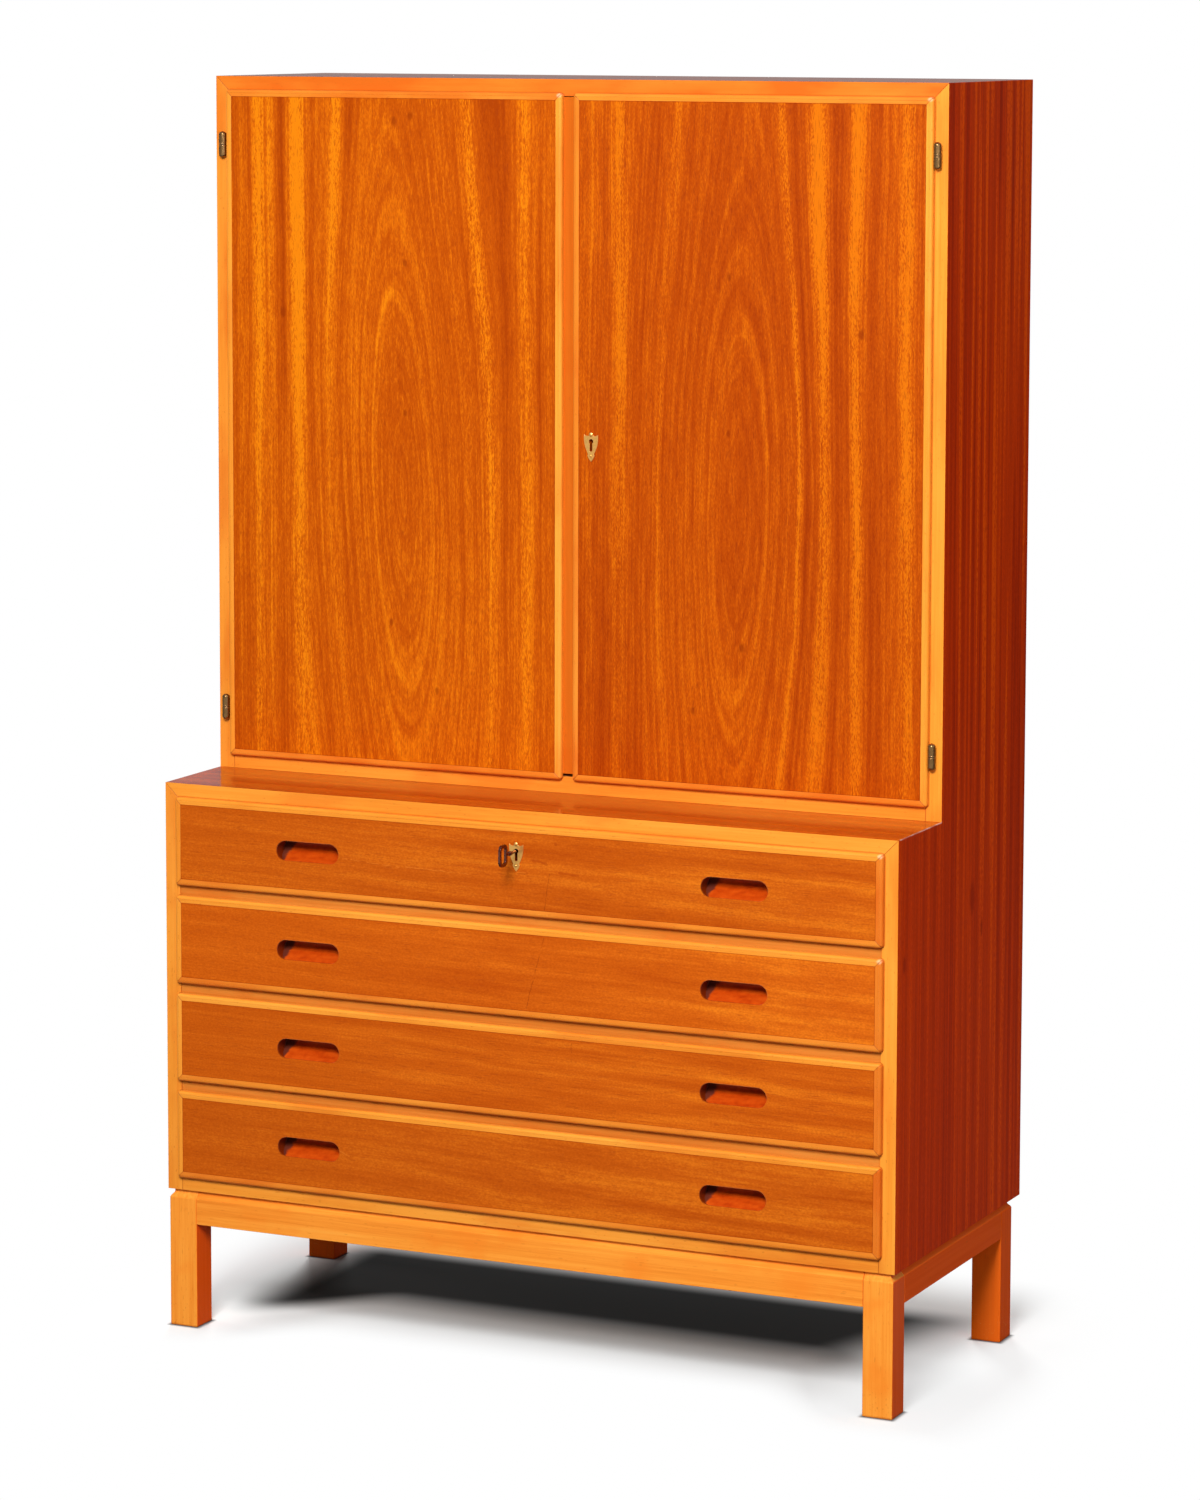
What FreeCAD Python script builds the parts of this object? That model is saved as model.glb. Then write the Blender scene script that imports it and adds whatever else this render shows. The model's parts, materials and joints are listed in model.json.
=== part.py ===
import FreeCAD, Part
import os
from types import SimpleNamespace

import Sketcher

# Highboard: a two-door cupboard standing back on a four-drawer case, on a low square-legged stand.
# +X is the right of the front, +Y points to the back and +Z is up. The origin is the middle of the
# footprint, at floor level, with the key and the proud fronts counted in the depth.

DRAWERS = ("drawer_1", "drawer_2", "drawer_3", "drawer_4")
LOCKED_DRAWER = DRAWERS[0]
SIDES = {"left": -1, "right": 1}

SIZES = (
    # case
    ("case_width", 1050, "over the two sides"),
    ("lower_depth", 460, "front edge to back of the drawer case"),
    ("upper_depth", 310, "front edge to back of the cupboard"),
    ("stand_height", 188, "floor to underside of the case"),
    ("lower_height", 554, "underside of the case to the ledge"),
    ("upper_height", 938, "ledge to top"),
    ("board", 22, "thickness of the case boards"),
    ("edging_depth", 6, "depth of the solid edging on the case boards"),
    ("back_board", 6, "thickness of the back boards"),
    ("divider_depth", 70, "front to back of a drawer divider"),
    ("divider_recess", 1, "divider behind the case edging"),
    ("runner_width", 20, "drawer runner, side to side"),
    ("overrun", 5, "how far a cut runs past the face it opens"),
    # stand
    ("leg", 41, "square section of a leg"),
    ("stand_side_inset", 2, "leg behind the side of the case"),
    ("stand_rear_inset", 25, "leg in front of the back of the case"),
    ("rail_height", 46, "top to bottom of a stand rail"),
    ("rail_thickness", 22, "through a stand rail"),
    ("groove_depth", 5, "shadow groove, inwards"),
    ("groove_height", 5, "upright wall of the shadow groove"),
    ("groove_bevel", 5.5, "height of the bevel below it"),
    ("block_length", 60, "glue block along the rail"),
    ("block_width", 24, "glue block across the rail"),
    ("block_height", 30, "glue block, top to bottom"),
    ("screw_radius", 2.5, "stand screw"),
    ("screw_head_radius", 4.5, "stand screw head"),
    ("screw_head_height", 3, "stand screw head"),
    ("screw_bite", 16, "stand screw inside the case bottom"),
    # lipped fronts
    ("lip_overlap", 4, "front over the edges of its opening"),
    ("lip_proud", 8, "front before the case"),
    ("lip_gap", 0.3, "air between a lip and the case"),
    ("front_thickness", 20, "through a drawer front or door"),
    ("front_clearance", 1, "front to the sides of its opening"),
    ("front_edging", 9, "width of the edging round a front"),
    ("lip_corner", 5, "radius of a front's corners"),
    ("lip_round", 4, "radius of a front's outer edges"),
    ("door_gap", 16, "between the lips of the two doors"),
    # pulls
    ("pull_length", 92, "finger pull, side to side"),
    ("pull_height", 26.5, "finger pull, top to bottom"),
    ("pull_spacing", 612, "between the two pulls of a drawer"),
    ("pull_depth", 26, "finger pull, front to back"),
    ("scoop_start", 1.5, "face to the start of the scoop"),
    ("scoop_rise", 14.6, "height of the scooped floor at its back"),
    ("scoop_round", 12, "radius between scooped floor and back"),
    ("cup_wall", 5, "wood behind the pull"),
    ("cup_margin", 6, "wood round the pull"),
    # drawer boxes
    ("drawer_clearance", 1.5, "drawer side to case side"),
    ("drawer_float", 0.3, "drawer side above its runner"),
    ("box_side", 12, "thickness of drawer sides and back"),
    ("box_headroom", 20.7, "drawer sides below the top of their opening"),
    ("box_length", 415, "drawer sides, front to back"),
    ("box_bottom", 5, "thickness of a drawer bottom"),
    ("bottom_lift", 8, "drawer bottom above the lower edge of its sides"),
    ("bottom_bite", 5, "drawer bottom inside the grooves of its sides"),
    # shelves
    ("shelf_thickness", 18, "loose shelf"),
    ("shelf_clearance", 1, "shelf to case side"),
    ("shelf_setback", 34, "shelf behind the front of the cupboard"),
    ("low_shelf_share", 0.34, "height of the lower shelf in the cupboard, as a share"),
    ("high_shelf_share", 0.67, "height of the upper shelf in the cupboard, as a share"),
    ("peg_radius", 2.5, "shelf peg"),
    ("peg_bite", 10, "shelf peg inside the case side"),
    ("peg_reach", 9, "shelf peg out of the case side"),
    ("peg_inset", 45, "shelf peg from the front or back of the shelf"),
    # barrel hinges
    ("hinge_radius", 5, "barrel"),
    ("hinge_length", 35, "barrel with its domed ends"),
    ("hinge_dome", 4, "height of a domed end"),
    ("hinge_gap", 0.5, "barrel to lip and to case"),
    ("hinge_top_drop", 91.5, "top of the case to the middle of the upper hinge"),
    ("hinge_low_rise", 84, "ledge to the middle of the lower hinge"),
    ("knuckle_gap", 0.3, "between the two knuckles"),
    ("knuckle_neck", 4, "width of the neck behind the case knuckle"),
    ("leaf", 2, "thickness of a hinge leaf"),
    ("door_leaf_return", 11, "door leaf along the edge of the door"),
    ("case_leaf_return", 30, "case leaf along the side of the case"),
    ("hinge_pin_radius", 2.5, "hinge pin"),
    ("hinge_pin_length", 26, "hinge pin"),
    ("hinge_pin_play", 0.06, "radial clearance of the pin in the door knuckle"),
    # keyholes and their plates
    ("keyhole_radius", 3.1, "round of a keyhole"),
    ("keyhole_slot", 3.8, "width of a keyhole's slot"),
    ("keyhole_drop", 13, "keyhole's middle to the foot of its slot"),
    ("plate_thickness", 1.2, "keyhole plate"),
    ("plate_half_width", 10, "keyhole plate at the level of the keyhole"),
    ("plate_rise", 9.3, "keyhole to the tips of the plate's ears"),
    ("plate_drop", 26.5, "keyhole to the lower tip of the plate"),
    ("plate_pin_rise", 9.2, "keyhole to the upper plate pin"),
    ("plate_pin_drop", 19, "keyhole to the lower plate pin"),
    ("plate_pin_radius", 2.9, "head of the upper plate pin"),
    ("plate_low_pin_radius", 1.8, "head of the lower plate pin"),
    ("plate_pin_proud", 1.6, "head of a plate pin before the plate"),
    ("nail_radius", 0.8, "body of a plate pin"),
    ("nail_length", 10, "body of a plate pin"),
    ("door_keyhole_inset", 27.5, "keyhole from the edge of the right door"),
    ("door_keyhole_rise", 468, "keyhole of the door above the ledge"),
    ("drawer_keyhole_drop", 34, "keyhole of the drawer below the top edge of its front"),
    # locks
    ("lock_depth", 12, "lock case, front to back"),
    ("lock_wall", 1.5, "front and back plate of a lock case"),
    ("chamber_radius", 9, "room for the turning key"),
    ("bolt_thickness", 4, "lock bolt, front to back"),
    ("bolt_play", 0.3, "lock bolt in its channel"),
    ("bolt_rise", 10.5, "key's axis to the near side of the bolt"),
    ("mortise_play", 1, "bolt in its mortise"),
    ("drawer_lock_width", 50, "lock case of the drawer"),
    ("drawer_lock_height", 45, "lock case of the drawer"),
    ("drawer_bolt_width", 24, "bolt of the drawer lock"),
    ("drawer_bolt_throw", 7, "travel of the drawer lock's bolt"),
    ("door_lock_width", 38, "lock case of the door"),
    ("door_lock_height", 60, "lock case of the door"),
    ("door_bolt_height", 14, "bolt of the door lock"),
    ("door_bolt_length", 20, "bolt of the door lock"),
    ("door_bolt_throw", 11, "travel of the door lock's bolt"),
    # key
    ("shank_radius", 1.9, "key's shank"),
    ("key_play", 0.08, "radial clearance of the shank in its lock"),
    ("key_reach", 51, "key before the drawer front"),
    ("bow_height", 29, "key's bow, top to bottom"),
    ("bow_depth", 22, "key's bow along the shank"),
    ("bow_thickness", 3, "key's bow, side to side"),
    ("bow_band", 4.6, "width of the ring that makes the bow"),
    ("bow_corner", 8, "outer radius of the bow's corners"),
    ("collar_place", 17, "drawer front to the key's collar"),
    ("collar_radius", 3.1, "key's collar"),
    ("collar_length", 5, "key's collar"),
    ("bit_reach", 8, "axis to the tip of the key's bit"),
    ("bit_length", 4.5, "key's bit along the shank"),
    ("bit_thickness", 2.4, "key's bit"),
    # closing strip and slide bolts of the left door
    ("strip_gap", 1.5, "closing strip to the lip of the right door"),
    ("strip_depth", 23, "closing strip, front to back"),
    ("strip_lift", 4, "closing strip above the cupboard floor"),
    ("slide_inset", 22, "slide bolt from the inner edge of the left door"),
    ("slide_width", 10, "slide bolt"),
    ("slide_thickness", 3, "slide bolt"),
    ("slide_length", 70, "slide bolt"),
    ("slide_throw", 10, "travel of a slide bolt"),
    ("slide_rest", 1.5, "resting slide bolt to the case"),
    ("slide_play", 0.2, "slide bolt in its guides"),
    ("guide_wall", 2.5, "wall of a bolt guide"),
    ("guide_height", 12, "bolt guide, top to bottom"),
    ("guide_end", 5, "bolt guide from the end of its bolt"),
    ("slide_knob_radius", 3, "slide bolt's knob"),
    ("slide_knob_length", 6, "slide bolt's knob"),
)

# Places nearer than this, in millimetres, are the same place.
CLOSE = 0.01

doc = FreeCAD.newDocument("highboard")
nodes = []


class Size:
    """A length, known as a number and as the formula on the sheets that gives it."""

    def __init__(self, number, formula):
        self.number = number
        self.formula = formula

    @staticmethod
    def of(value):
        return value if isinstance(value, Size) else Size(float(value), f"({value:.12g})")

    def joined(self, sign, other, number):
        return Size(number, f"({self.formula} {sign} {other.formula})")

    def __add__(self, other):
        other = Size.of(other)
        return self.joined("+", other, self.number + other.number)

    def __radd__(self, other):
        return Size.of(other) + self

    def __sub__(self, other):
        other = Size.of(other)
        return self.joined("-", other, self.number - other.number)

    def __rsub__(self, other):
        return Size.of(other) - self

    def __mul__(self, other):
        other = Size.of(other)
        return self.joined("*", other, self.number * other.number)

    def __rmul__(self, other):
        return Size.of(other) * self

    def __truediv__(self, other):
        other = Size.of(other)
        return self.joined("/", other, self.number / other.number)

    def __neg__(self):
        return Size.of(-1) * self


def driving_sheet():
    """Writes the driving dimensions to a sheet and returns them by name."""
    sheet = doc.addObject("Spreadsheet::Sheet", "Sizes")
    found = {}
    for row, (alias, number, note) in enumerate(SIZES, start=1):
        sheet.set(f"A{row}", alias)
        sheet.set(f"B{row}", str(number))
        sheet.set(f"C{row}", note)
        sheet.setAlias(f"B{row}", alias)
        found[alias] = Size(float(number), f"Sizes.{alias}")
    return SimpleNamespace(**found)


def worked_out(places):
    """Writes places worked out from the driving dimensions to a second sheet."""
    sheet = doc.addObject("Spreadsheet::Sheet", "Places")
    found = {}
    for row, (alias, place) in enumerate(places.items(), start=1):
        sheet.set(f"A{row}", alias)
        sheet.set(f"B{row}", f"={place.formula}")
        sheet.setAlias(f"B{row}", alias)
        found[alias] = Size(place.number, f"Places.{alias}")
    return SimpleNamespace(**found)


s = driving_sheet()


def main_places():
    """The planes that most pieces are set out from."""
    front = (s.lip_proud + s.key_reach - s.lower_depth) / 2
    back = front + s.lower_depth
    ledge = s.stand_height + s.lower_height
    half = s.case_width / 2
    openings = s.lower_height - s.board * (len(DRAWERS) + 1)
    return {
        "front": front,
        "back": back,
        "upper_front": back - s.upper_depth,
        "back_inside": back - s.back_board,
        "half": half,
        "inner_half": half - s.board,
        "ledge": ledge,
        "case_top": ledge + s.upper_height,
        "drawer_opening": openings / len(DRAWERS),
        "door_bottom": ledge + s.board,
        "door_top": ledge + s.upper_height - s.board,
        "tongue_inset": s.lip_overlap + s.front_clearance,
        "tongue_depth": s.front_thickness - s.lip_proud,
    }


p = worked_out(main_places())
doc.recompute()


# Ways to make a piece


def bind(item, path, size):
    """Ties a property of an object to a size."""
    item.setExpression(path, Size.of(size).formula)


def place(item, corner):
    """Ties the place of an object to three sizes."""
    for axis, size in zip("xyz", corner):
        bind(item, f"Placement.Base.{axis}", size)


def block(name, low, high):
    """A rectangular piece between its lowest and highest corners."""
    piece = doc.addObject("Part::Box", name)
    for edge, start, end in zip(("Length", "Width", "Height"), low, high):
        bind(piece, edge, end - start)
    place(piece, low)
    return piece


TURNS = {
    "X": FreeCAD.Rotation(FreeCAD.Vector(0, 1, 0), 90),
    "Y": FreeCAD.Rotation(FreeCAD.Vector(1, 0, 0), -90),
    "Z": FreeCAD.Rotation(),
}


def rod(name, start, radius, length, along="Z"):
    """A round piece from its start point, along one axis."""
    piece = doc.addObject("Part::Cylinder", name)
    piece.Placement = FreeCAD.Placement(FreeCAD.Vector(), TURNS[along])
    bind(piece, "Radius", radius)
    bind(piece, "Height", length)
    place(piece, start)
    return piece


def dome(name, centre, across, up, along="Z"):
    """An ellipsoid, round about one axis."""
    piece = doc.addObject("Part::Ellipsoid", name)
    piece.Placement = FreeCAD.Placement(FreeCAD.Vector(), TURNS[along])
    bind(piece, "Radius1", up)
    bind(piece, "Radius2", across)
    bind(piece, "Radius3", across)
    place(piece, centre)
    return piece


def joined(name, *pieces):
    """Several overlapping or touching shapes as one solid."""
    piece = doc.addObject("Part::MultiFuse", name)
    piece.Shapes = list(pieces)
    piece.Refine = True
    return piece


def cut(name, base, *tools):
    """A base with one or more tools taken out of it."""
    piece = doc.addObject("Part::Cut", name)
    piece.Base = base
    piece.Tool = tools[0] if len(tools) == 1 else joined(name + "_tools", *tools)
    return piece


def overlap(name, first, second):
    """What two shapes share."""
    piece = doc.addObject("Part::Common", name)
    piece.Base = first
    piece.Tool = second
    return piece


def group(name, pieces):
    """Separate solids kept together."""
    piece = doc.addObject("Part::Compound", name)
    piece.Links = list(pieces)
    return piece


def mirrored(name, source):
    """The same piece on the other side of the middle of the cabinet."""
    piece = doc.addObject("Part::Mirroring", name)
    piece.Source = source
    piece.Normal = FreeCAD.Vector(1, 0, 0)
    return piece


def outline_sketch(body, plane, outline, offset):
    """A closed outline of straight lines on one of the body's own planes."""
    sketch = body.newObject("Sketcher::SketchObject", f"{body.Name}_outline")
    support = next(f for f in body.Origin.OriginFeatures if f.Role == f"{plane}_Plane")
    sketch.AttachmentSupport = [(support, "")]
    sketch.MapMode = "FlatFace"
    bind(sketch, "AttachmentOffset.Base.z", offset)
    points = [(Size.of(u), Size.of(v)) for u, v in outline]
    corners = [FreeCAD.Vector(u.number, v.number, 0) for u, v in points]
    count = len(points)
    for index in range(count):
        sketch.addGeometry(Part.LineSegment(corners[index], corners[(index + 1) % count]), False)
    for index in range(count):
        sketch.addConstraint(Sketcher.Constraint("Coincident", index, 2, (index + 1) % count, 1))
    for index, (u, v) in enumerate(points):
        for way, size in (("DistanceX", u), ("DistanceY", v)):
            held = sketch.addConstraint(Sketcher.Constraint(way, -1, 1, index, 1, size.number))
            bind(sketch, f"Constraints[{held}]", size)
    return sketch


def pad(body, plane, outline, start, end):
    """Adds an outline to a body, from start to end along the axis square to its plane."""
    # The XZ plane faces the front, so there the pad grows from its far end towards the front.
    offset = -end if plane == "XZ" else start
    feature = body.newObject("PartDesign::Pad", f"{body.Name}_pad")
    feature.Profile = outline_sketch(body, plane, outline, offset)
    bind(feature, "Length", end - start)
    return feature


def prism(name, plane, outline, start, end):
    """A body that is one outline, carried from start to end."""
    body = doc.addObject("PartDesign::Body", name)
    pad(body, plane, outline, start, end)
    return body


def soften(body, wanted, radius):
    """Rounds the edges of a body's last feature for which wanted is true."""
    doc.recompute()
    base = body.Tip
    names = [f"Edge{n}" for n, edge in enumerate(base.Shape.Edges, 1) if wanted(edge.BoundBox)]
    feature = body.newObject("PartDesign::Fillet", f"{body.Name}_round")
    feature.Base = (base, names)
    bind(feature, "Radius", radius)
    return feature


def rectangle(low, high):
    """The corners of a rectangle as an outline, from the lowest corner on."""
    return [low, (high[0], low[1]), high, (low[0], high[1])]


def keep(piece):
    """Marks a finished sub-part, whose name is also the name of its file."""
    piece.Label = piece.Name
    nodes.append(piece)
    return piece


def side_span(side, near_middle, far_out):
    """An X range on one side of the cabinet, lowest first."""
    return (near_middle, far_out) if side > 0 else (-far_out, -near_middle)


def across(name, half_width, depth, height):
    """A board across the cabinet, as wide to the left as to the right."""
    return block(name, (-half_width, depth[0], height[0]), (half_width, depth[1], height[1]))


# Stand


def groove_ring(outer, rear):
    """What the shadow groove takes from the outside of the stand: a bevel, then an upright wall."""
    top = s.stand_height + s.overrun
    knee = s.stand_height - s.groove_height
    low = knee - s.groove_bevel

    def section(face, inwards):
        """The cut at one face, as places across the face and up."""
        inner = face + inwards * s.groove_depth
        outside = face - inwards * s.overrun
        return [(face, low), (inner, knee), (inner, top), (outside, top), (outside, low)]

    wide = outer + s.overrun
    return joined(
        "groove_ring",
        prism("groove_front", "YZ", section(p.front, 1), -wide, wide),
        prism("groove_rear", "YZ", section(rear, -1), -wide, wide),
        prism("groove_left", "XZ", section(-outer, 1), p.front - s.overrun, rear + s.overrun),
        prism("groove_right", "XZ", section(outer, -1), p.front - s.overrun, rear + s.overrun),
    )


def stand():
    """Four square legs and four rails, flush outside, with a shadow groove round the top."""
    outer = p.half - s.stand_side_inset
    rear = p.back - s.stand_rear_inset
    between = outer - s.leg
    rail = (s.stand_height - s.rail_height, s.stand_height)
    ring = groove_ring(outer, rear)
    rows = {"front": (p.front, p.front + s.leg), "rear": (rear - s.leg, rear)}
    for row, (near_y, far_y) in rows.items():
        for name, side in SIDES.items():
            low_x, high_x = side_span(side, between, outer)
            label = f"leg_{row}_{name}"
            post = block(f"{label}_post", (low_x, near_y, 0), (high_x, far_y, s.stand_height))
            keep(cut(label, post, ring))
    rails = {"front": (p.front, p.front + s.rail_thickness), "rear": (rear - s.rail_thickness, rear)}
    for row, depth in rails.items():
        keep(cut(f"rail_{row}", across(f"rail_{row}_bar", between, depth, rail), ring))
    for name, side in SIDES.items():
        low_x, high_x = side_span(side, outer - s.rail_thickness, outer)
        low = (low_x, p.front + s.leg, rail[0])
        high = (high_x, rear - s.leg, rail[1])
        keep(cut(f"rail_{name}", block(f"rail_{name}_bar", low, high), ring))
    return corner_blocks(between, rear)


def corner_blocks(between, rear):
    """Glue blocks in the corners of the stand, with the screws that hold the case on it."""
    blocks = []
    screws = []
    underside = s.stand_height - s.block_height
    behind_front = p.front + s.rail_thickness
    before_rear = rear - s.rail_thickness
    rows = {
        "front": (behind_front, behind_front + s.block_width),
        "rear": (before_rear - s.block_width, before_rear),
    }
    for row, (near_y, far_y) in rows.items():
        for name, side in SIDES.items():
            low_x, high_x = side_span(side, between - s.block_length, between)
            middle = ((low_x + high_x) / 2, (near_y + far_y) / 2)
            tag = f"{row}_{name}"
            length = s.block_height + s.screw_bite
            body = rod(f"screw_body_{tag}", (*middle, underside), s.screw_radius, length)
            foot = (*middle, underside - s.screw_head_height)
            head = rod(f"screw_head_{tag}", foot, s.screw_head_radius, s.screw_head_height)
            screw = joined(f"screw_{tag}", body, head)
            timber = block(f"block_{tag}_timber", (low_x, near_y, underside), (high_x, far_y, s.stand_height))
            blocks.append(cut(f"block_{tag}", timber, body))
            screws.append(screw)
    keep(group("corner_blocks", blocks))
    return keep(group("stand_screws", screws))


# Hinges


def hinge(side_name, level, middle):
    """One barrel hinge, about an upright axis beside the door's lip: knuckles and pin."""
    side = SIDES[side_name]
    tag = f"{side_name}_{level}"
    axis = p.inner_half + s.lip_overlap + s.hinge_gap + s.hinge_radius
    axis_x = side * axis
    axis_y = p.upper_front - s.hinge_gap - s.hinge_radius
    barrel = s.hinge_length / 2 - s.hinge_dome
    split = s.knuckle_gap / 2
    pin_half = s.hinge_pin_length / 2
    door_side = p.inner_half - s.front_clearance
    lip_back = p.upper_front - s.lip_gap

    def leaf_piece(name, near_middle, far_out, near_y, far_y, low_z, high_z):
        low_x, high_x = side_span(side, near_middle, far_out)
        return block(f"{name}_{tag}", (low_x, near_y, low_z), (high_x, far_y, high_z))

    upper = (middle + split, middle + barrel)
    return_far = p.upper_front + s.door_leaf_return
    door_shape = joined(
        f"door_knuckle_shape_{tag}",
        rod(f"door_barrel_{tag}", (axis_x, axis_y, upper[0]), s.hinge_radius, barrel - split),
        dome(f"door_dome_{tag}", (axis_x, axis_y, upper[1]), s.hinge_radius, s.hinge_dome),
        leaf_piece("door_leaf", door_side - s.leaf, axis, lip_back - s.leaf, lip_back, *upper),
        leaf_piece("door_return", door_side - s.leaf, door_side, lip_back - s.leaf, return_far, *upper),
    )
    running = rod(
        f"door_bore_{tag}",
        (axis_x, axis_y, middle),
        s.hinge_pin_radius + s.hinge_pin_play,
        pin_half + s.knuckle_gap,
    )

    lower = (middle - barrel, middle - split)
    case_face = p.upper_front
    leaf_back = case_face + s.leaf
    case_shape = joined(
        f"case_knuckle_shape_{tag}",
        rod(f"case_barrel_{tag}", (axis_x, axis_y, lower[0]), s.hinge_radius, barrel - split),
        dome(f"case_dome_{tag}", (axis_x, axis_y, lower[0]), s.hinge_radius, s.hinge_dome),
        leaf_piece("case_neck", axis - s.knuckle_neck, axis, axis_y, leaf_back, *lower),
        leaf_piece("case_leaf", p.inner_half, axis, case_face, leaf_back, *lower),
        leaf_piece(
            "case_return",
            p.inner_half,
            p.inner_half + s.leaf,
            case_face,
            case_face + s.case_leaf_return,
            *lower,
        ),
    )
    pin = rod(f"pin_{tag}", (axis_x, axis_y, middle - pin_half), s.hinge_pin_radius, s.hinge_pin_length)
    return (
        cut(f"door_knuckle_{tag}", door_shape, running),
        cut(f"case_knuckle_{tag}", case_shape, pin),
        pin,
    )


def hinges():
    """Two hinges for each door. Returns the knuckles of each side, which the wood makes room for."""
    levels = {"upper": p.case_top - s.hinge_top_drop, "lower": p.ledge + s.hinge_low_rise}
    door_knuckles = {}
    case_knuckles = {}
    pins = []
    for name in SIDES:
        made = [hinge(name, level, middle) for level, middle in levels.items()]
        door_knuckles[name] = keep(group(f"{name}_door_knuckles", [found[0] for found in made]))
        case_knuckles[name] = group(f"case_knuckles_{name}", [found[1] for found in made])
        pins += [found[2] for found in made]
    keep(group("hinge_case_knuckles", case_knuckles.values()))
    keep(group("hinge_pins", pins))
    return door_knuckles, case_knuckles


# Case


def mitred_board(top):
    """The outline of a board whose ends meet the sides at 45 degrees."""
    under = top - s.board
    return [(-p.inner_half, under), (p.inner_half, under), (p.half, top), (-p.half, top)]


def mitred_side(side, bottom, top):
    """The outline of an upright whose upper end meets a board at 45 degrees."""
    outline = [(p.inner_half, bottom), (p.half, bottom), (p.half, top), (p.inner_half, top - s.board)]
    return [(side * x, z) for x, z in outline]


def sides(pegs, case_knuckles):
    """The two side boards. Each is stepped: deep below the ledge, shallower above it."""
    step = p.upper_front + s.edging_depth
    for name, side in SIDES.items():
        label = f"side_{name}"
        lower = mitred_side(side, s.stand_height, p.ledge)
        upper = mitred_side(side, s.stand_height, p.case_top)
        board = prism(f"{label}_board", "XZ", lower, p.front + s.edging_depth, step)
        pad(board, "XZ", upper, step, p.back)
        keep(cut(label, board, pegs[name], case_knuckles[name]))


def boards(screws, mortises):
    """The boards across the case and its two backs."""
    lower_front = p.front + s.edging_depth
    step = p.upper_front + s.edging_depth
    floor = (s.stand_height, s.stand_height + s.board)
    bottom = across("case_bottom_board", p.inner_half, (lower_front, p.back_inside), floor)
    keep(cut("case_bottom", bottom, screws))
    ledge = prism("step_top_board", "XZ", mitred_board(p.ledge), lower_front, step)
    under = rectangle((-p.inner_half, p.ledge - s.board), (p.inner_half, p.ledge))
    pad(ledge, "XZ", under, step, p.back_inside)
    keep(cut("step_top", ledge, mortises["drawer"]))
    cupboard_floor = (p.ledge, p.door_bottom)
    upper_floor = across("upper_floor_board", p.inner_half, (step, p.back_inside), cupboard_floor)
    keep(cut("upper_floor", upper_floor, mortises["lower_slide"]))
    top = prism("top_board_board", "XZ", mitred_board(p.case_top), step, p.back)
    keep(cut("top_board", top, mortises["upper_slide"]))
    backs = {"lower": (s.stand_height, p.ledge), "upper": (p.ledge, p.door_top)}
    for name, height in backs.items():
        keep(across(f"back_{name}", p.inner_half, (p.back_inside, p.back), height))


def case_edging(label, bottom, top, face, knuckles):
    """The solid edging on the front of one part of the case: three mitred strips and a bottom one."""
    depth = (face, face + s.edging_depth)
    strips = [prism(f"{label}_top", "XZ", mitred_board(top), *depth)]
    strips.append(across(f"{label}_bottom", p.inner_half, depth, (bottom, bottom + s.board)))
    for name, side in SIDES.items():
        upright = prism(f"{label}_{name}", "XZ", mitred_side(side, bottom, top), *depth)
        strips.append(cut(f"{label}_{name}_let_in", upright, knuckles[name]) if knuckles else upright)
    keep(group(label, strips))


def drawer_floor(number):
    """The lower edge of a drawer's opening. Drawers are counted from the top."""
    return p.ledge - (s.board + p.drawer_opening) * number


def dividers():
    """The dividers between the drawers, and the runners behind them."""
    rails = []
    runners = []
    near_y = p.front + s.divider_recess
    far_y = near_y + s.divider_depth
    for number in range(1, len(DRAWERS)):
        top = drawer_floor(number)
        height = (top - s.board, top)
        rails.append(across(f"divider_{number}", p.inner_half, (near_y, far_y), height))
        for name, side in SIDES.items():
            low_x, high_x = side_span(side, p.inner_half - s.runner_width, p.inner_half)
            low = (low_x, far_y, height[0])
            runners.append(block(f"runner_{number}_{name}", low, (high_x, p.back_inside, height[1])))
    keep(group("drawer_dividers", rails))
    keep(group("drawer_runners", runners))


def shelves():
    """Two loose shelves on pegs. Returns the pegs of each side, which the sides are drilled for."""
    near_y = p.upper_front + s.shelf_setback
    far_y = p.back_inside - s.shelf_clearance
    pegs = {name: [] for name in SIDES}
    for level, share in (("lower", s.low_shelf_share), ("upper", s.high_shelf_share)):
        low_z = p.door_bottom + (p.door_top - p.door_bottom) * share
        height = (low_z, low_z + s.shelf_thickness)
        keep(across(f"shelf_{level}", p.inner_half - s.shelf_clearance, (near_y, far_y), height))
        for name, side in SIDES.items():
            low_x, high_x = side_span(side, p.inner_half - s.peg_reach, p.inner_half + s.peg_bite)
            for row, y in (("front", near_y + s.peg_inset), ("rear", far_y - s.peg_inset)):
                start = (low_x, y, low_z - s.peg_radius)
                peg = rod(f"peg_{level}_{name}_{row}", start, s.peg_radius, high_x - low_x, "X")
                pegs[name].append(peg)
    by_side = {name: group(f"pegs_{name}", found) for name, found in pegs.items()}
    keep(group("shelf_pegs", by_side.values()))
    return by_side


# Keyholes, locks and key


def keyhole(name, middle, start, end, radius):
    """A keyhole right through something: a round with a slot below it."""
    x, z = middle
    slot = s.keyhole_slot / 2
    return joined(
        name,
        rod(f"{name}_round", (x, start, z), radius, end - start, "Y"),
        block(f"{name}_slot", (x - slot, start, z - s.keyhole_drop), (x + slot, end, z)),
    )


def front_keyhole(name, middle, face):
    """The keyhole through a drawer front or door, as far as its lock."""
    start = face - s.lip_proud - s.overrun
    return keyhole(name, middle, start, lock_middle(face), s.keyhole_radius)


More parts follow.
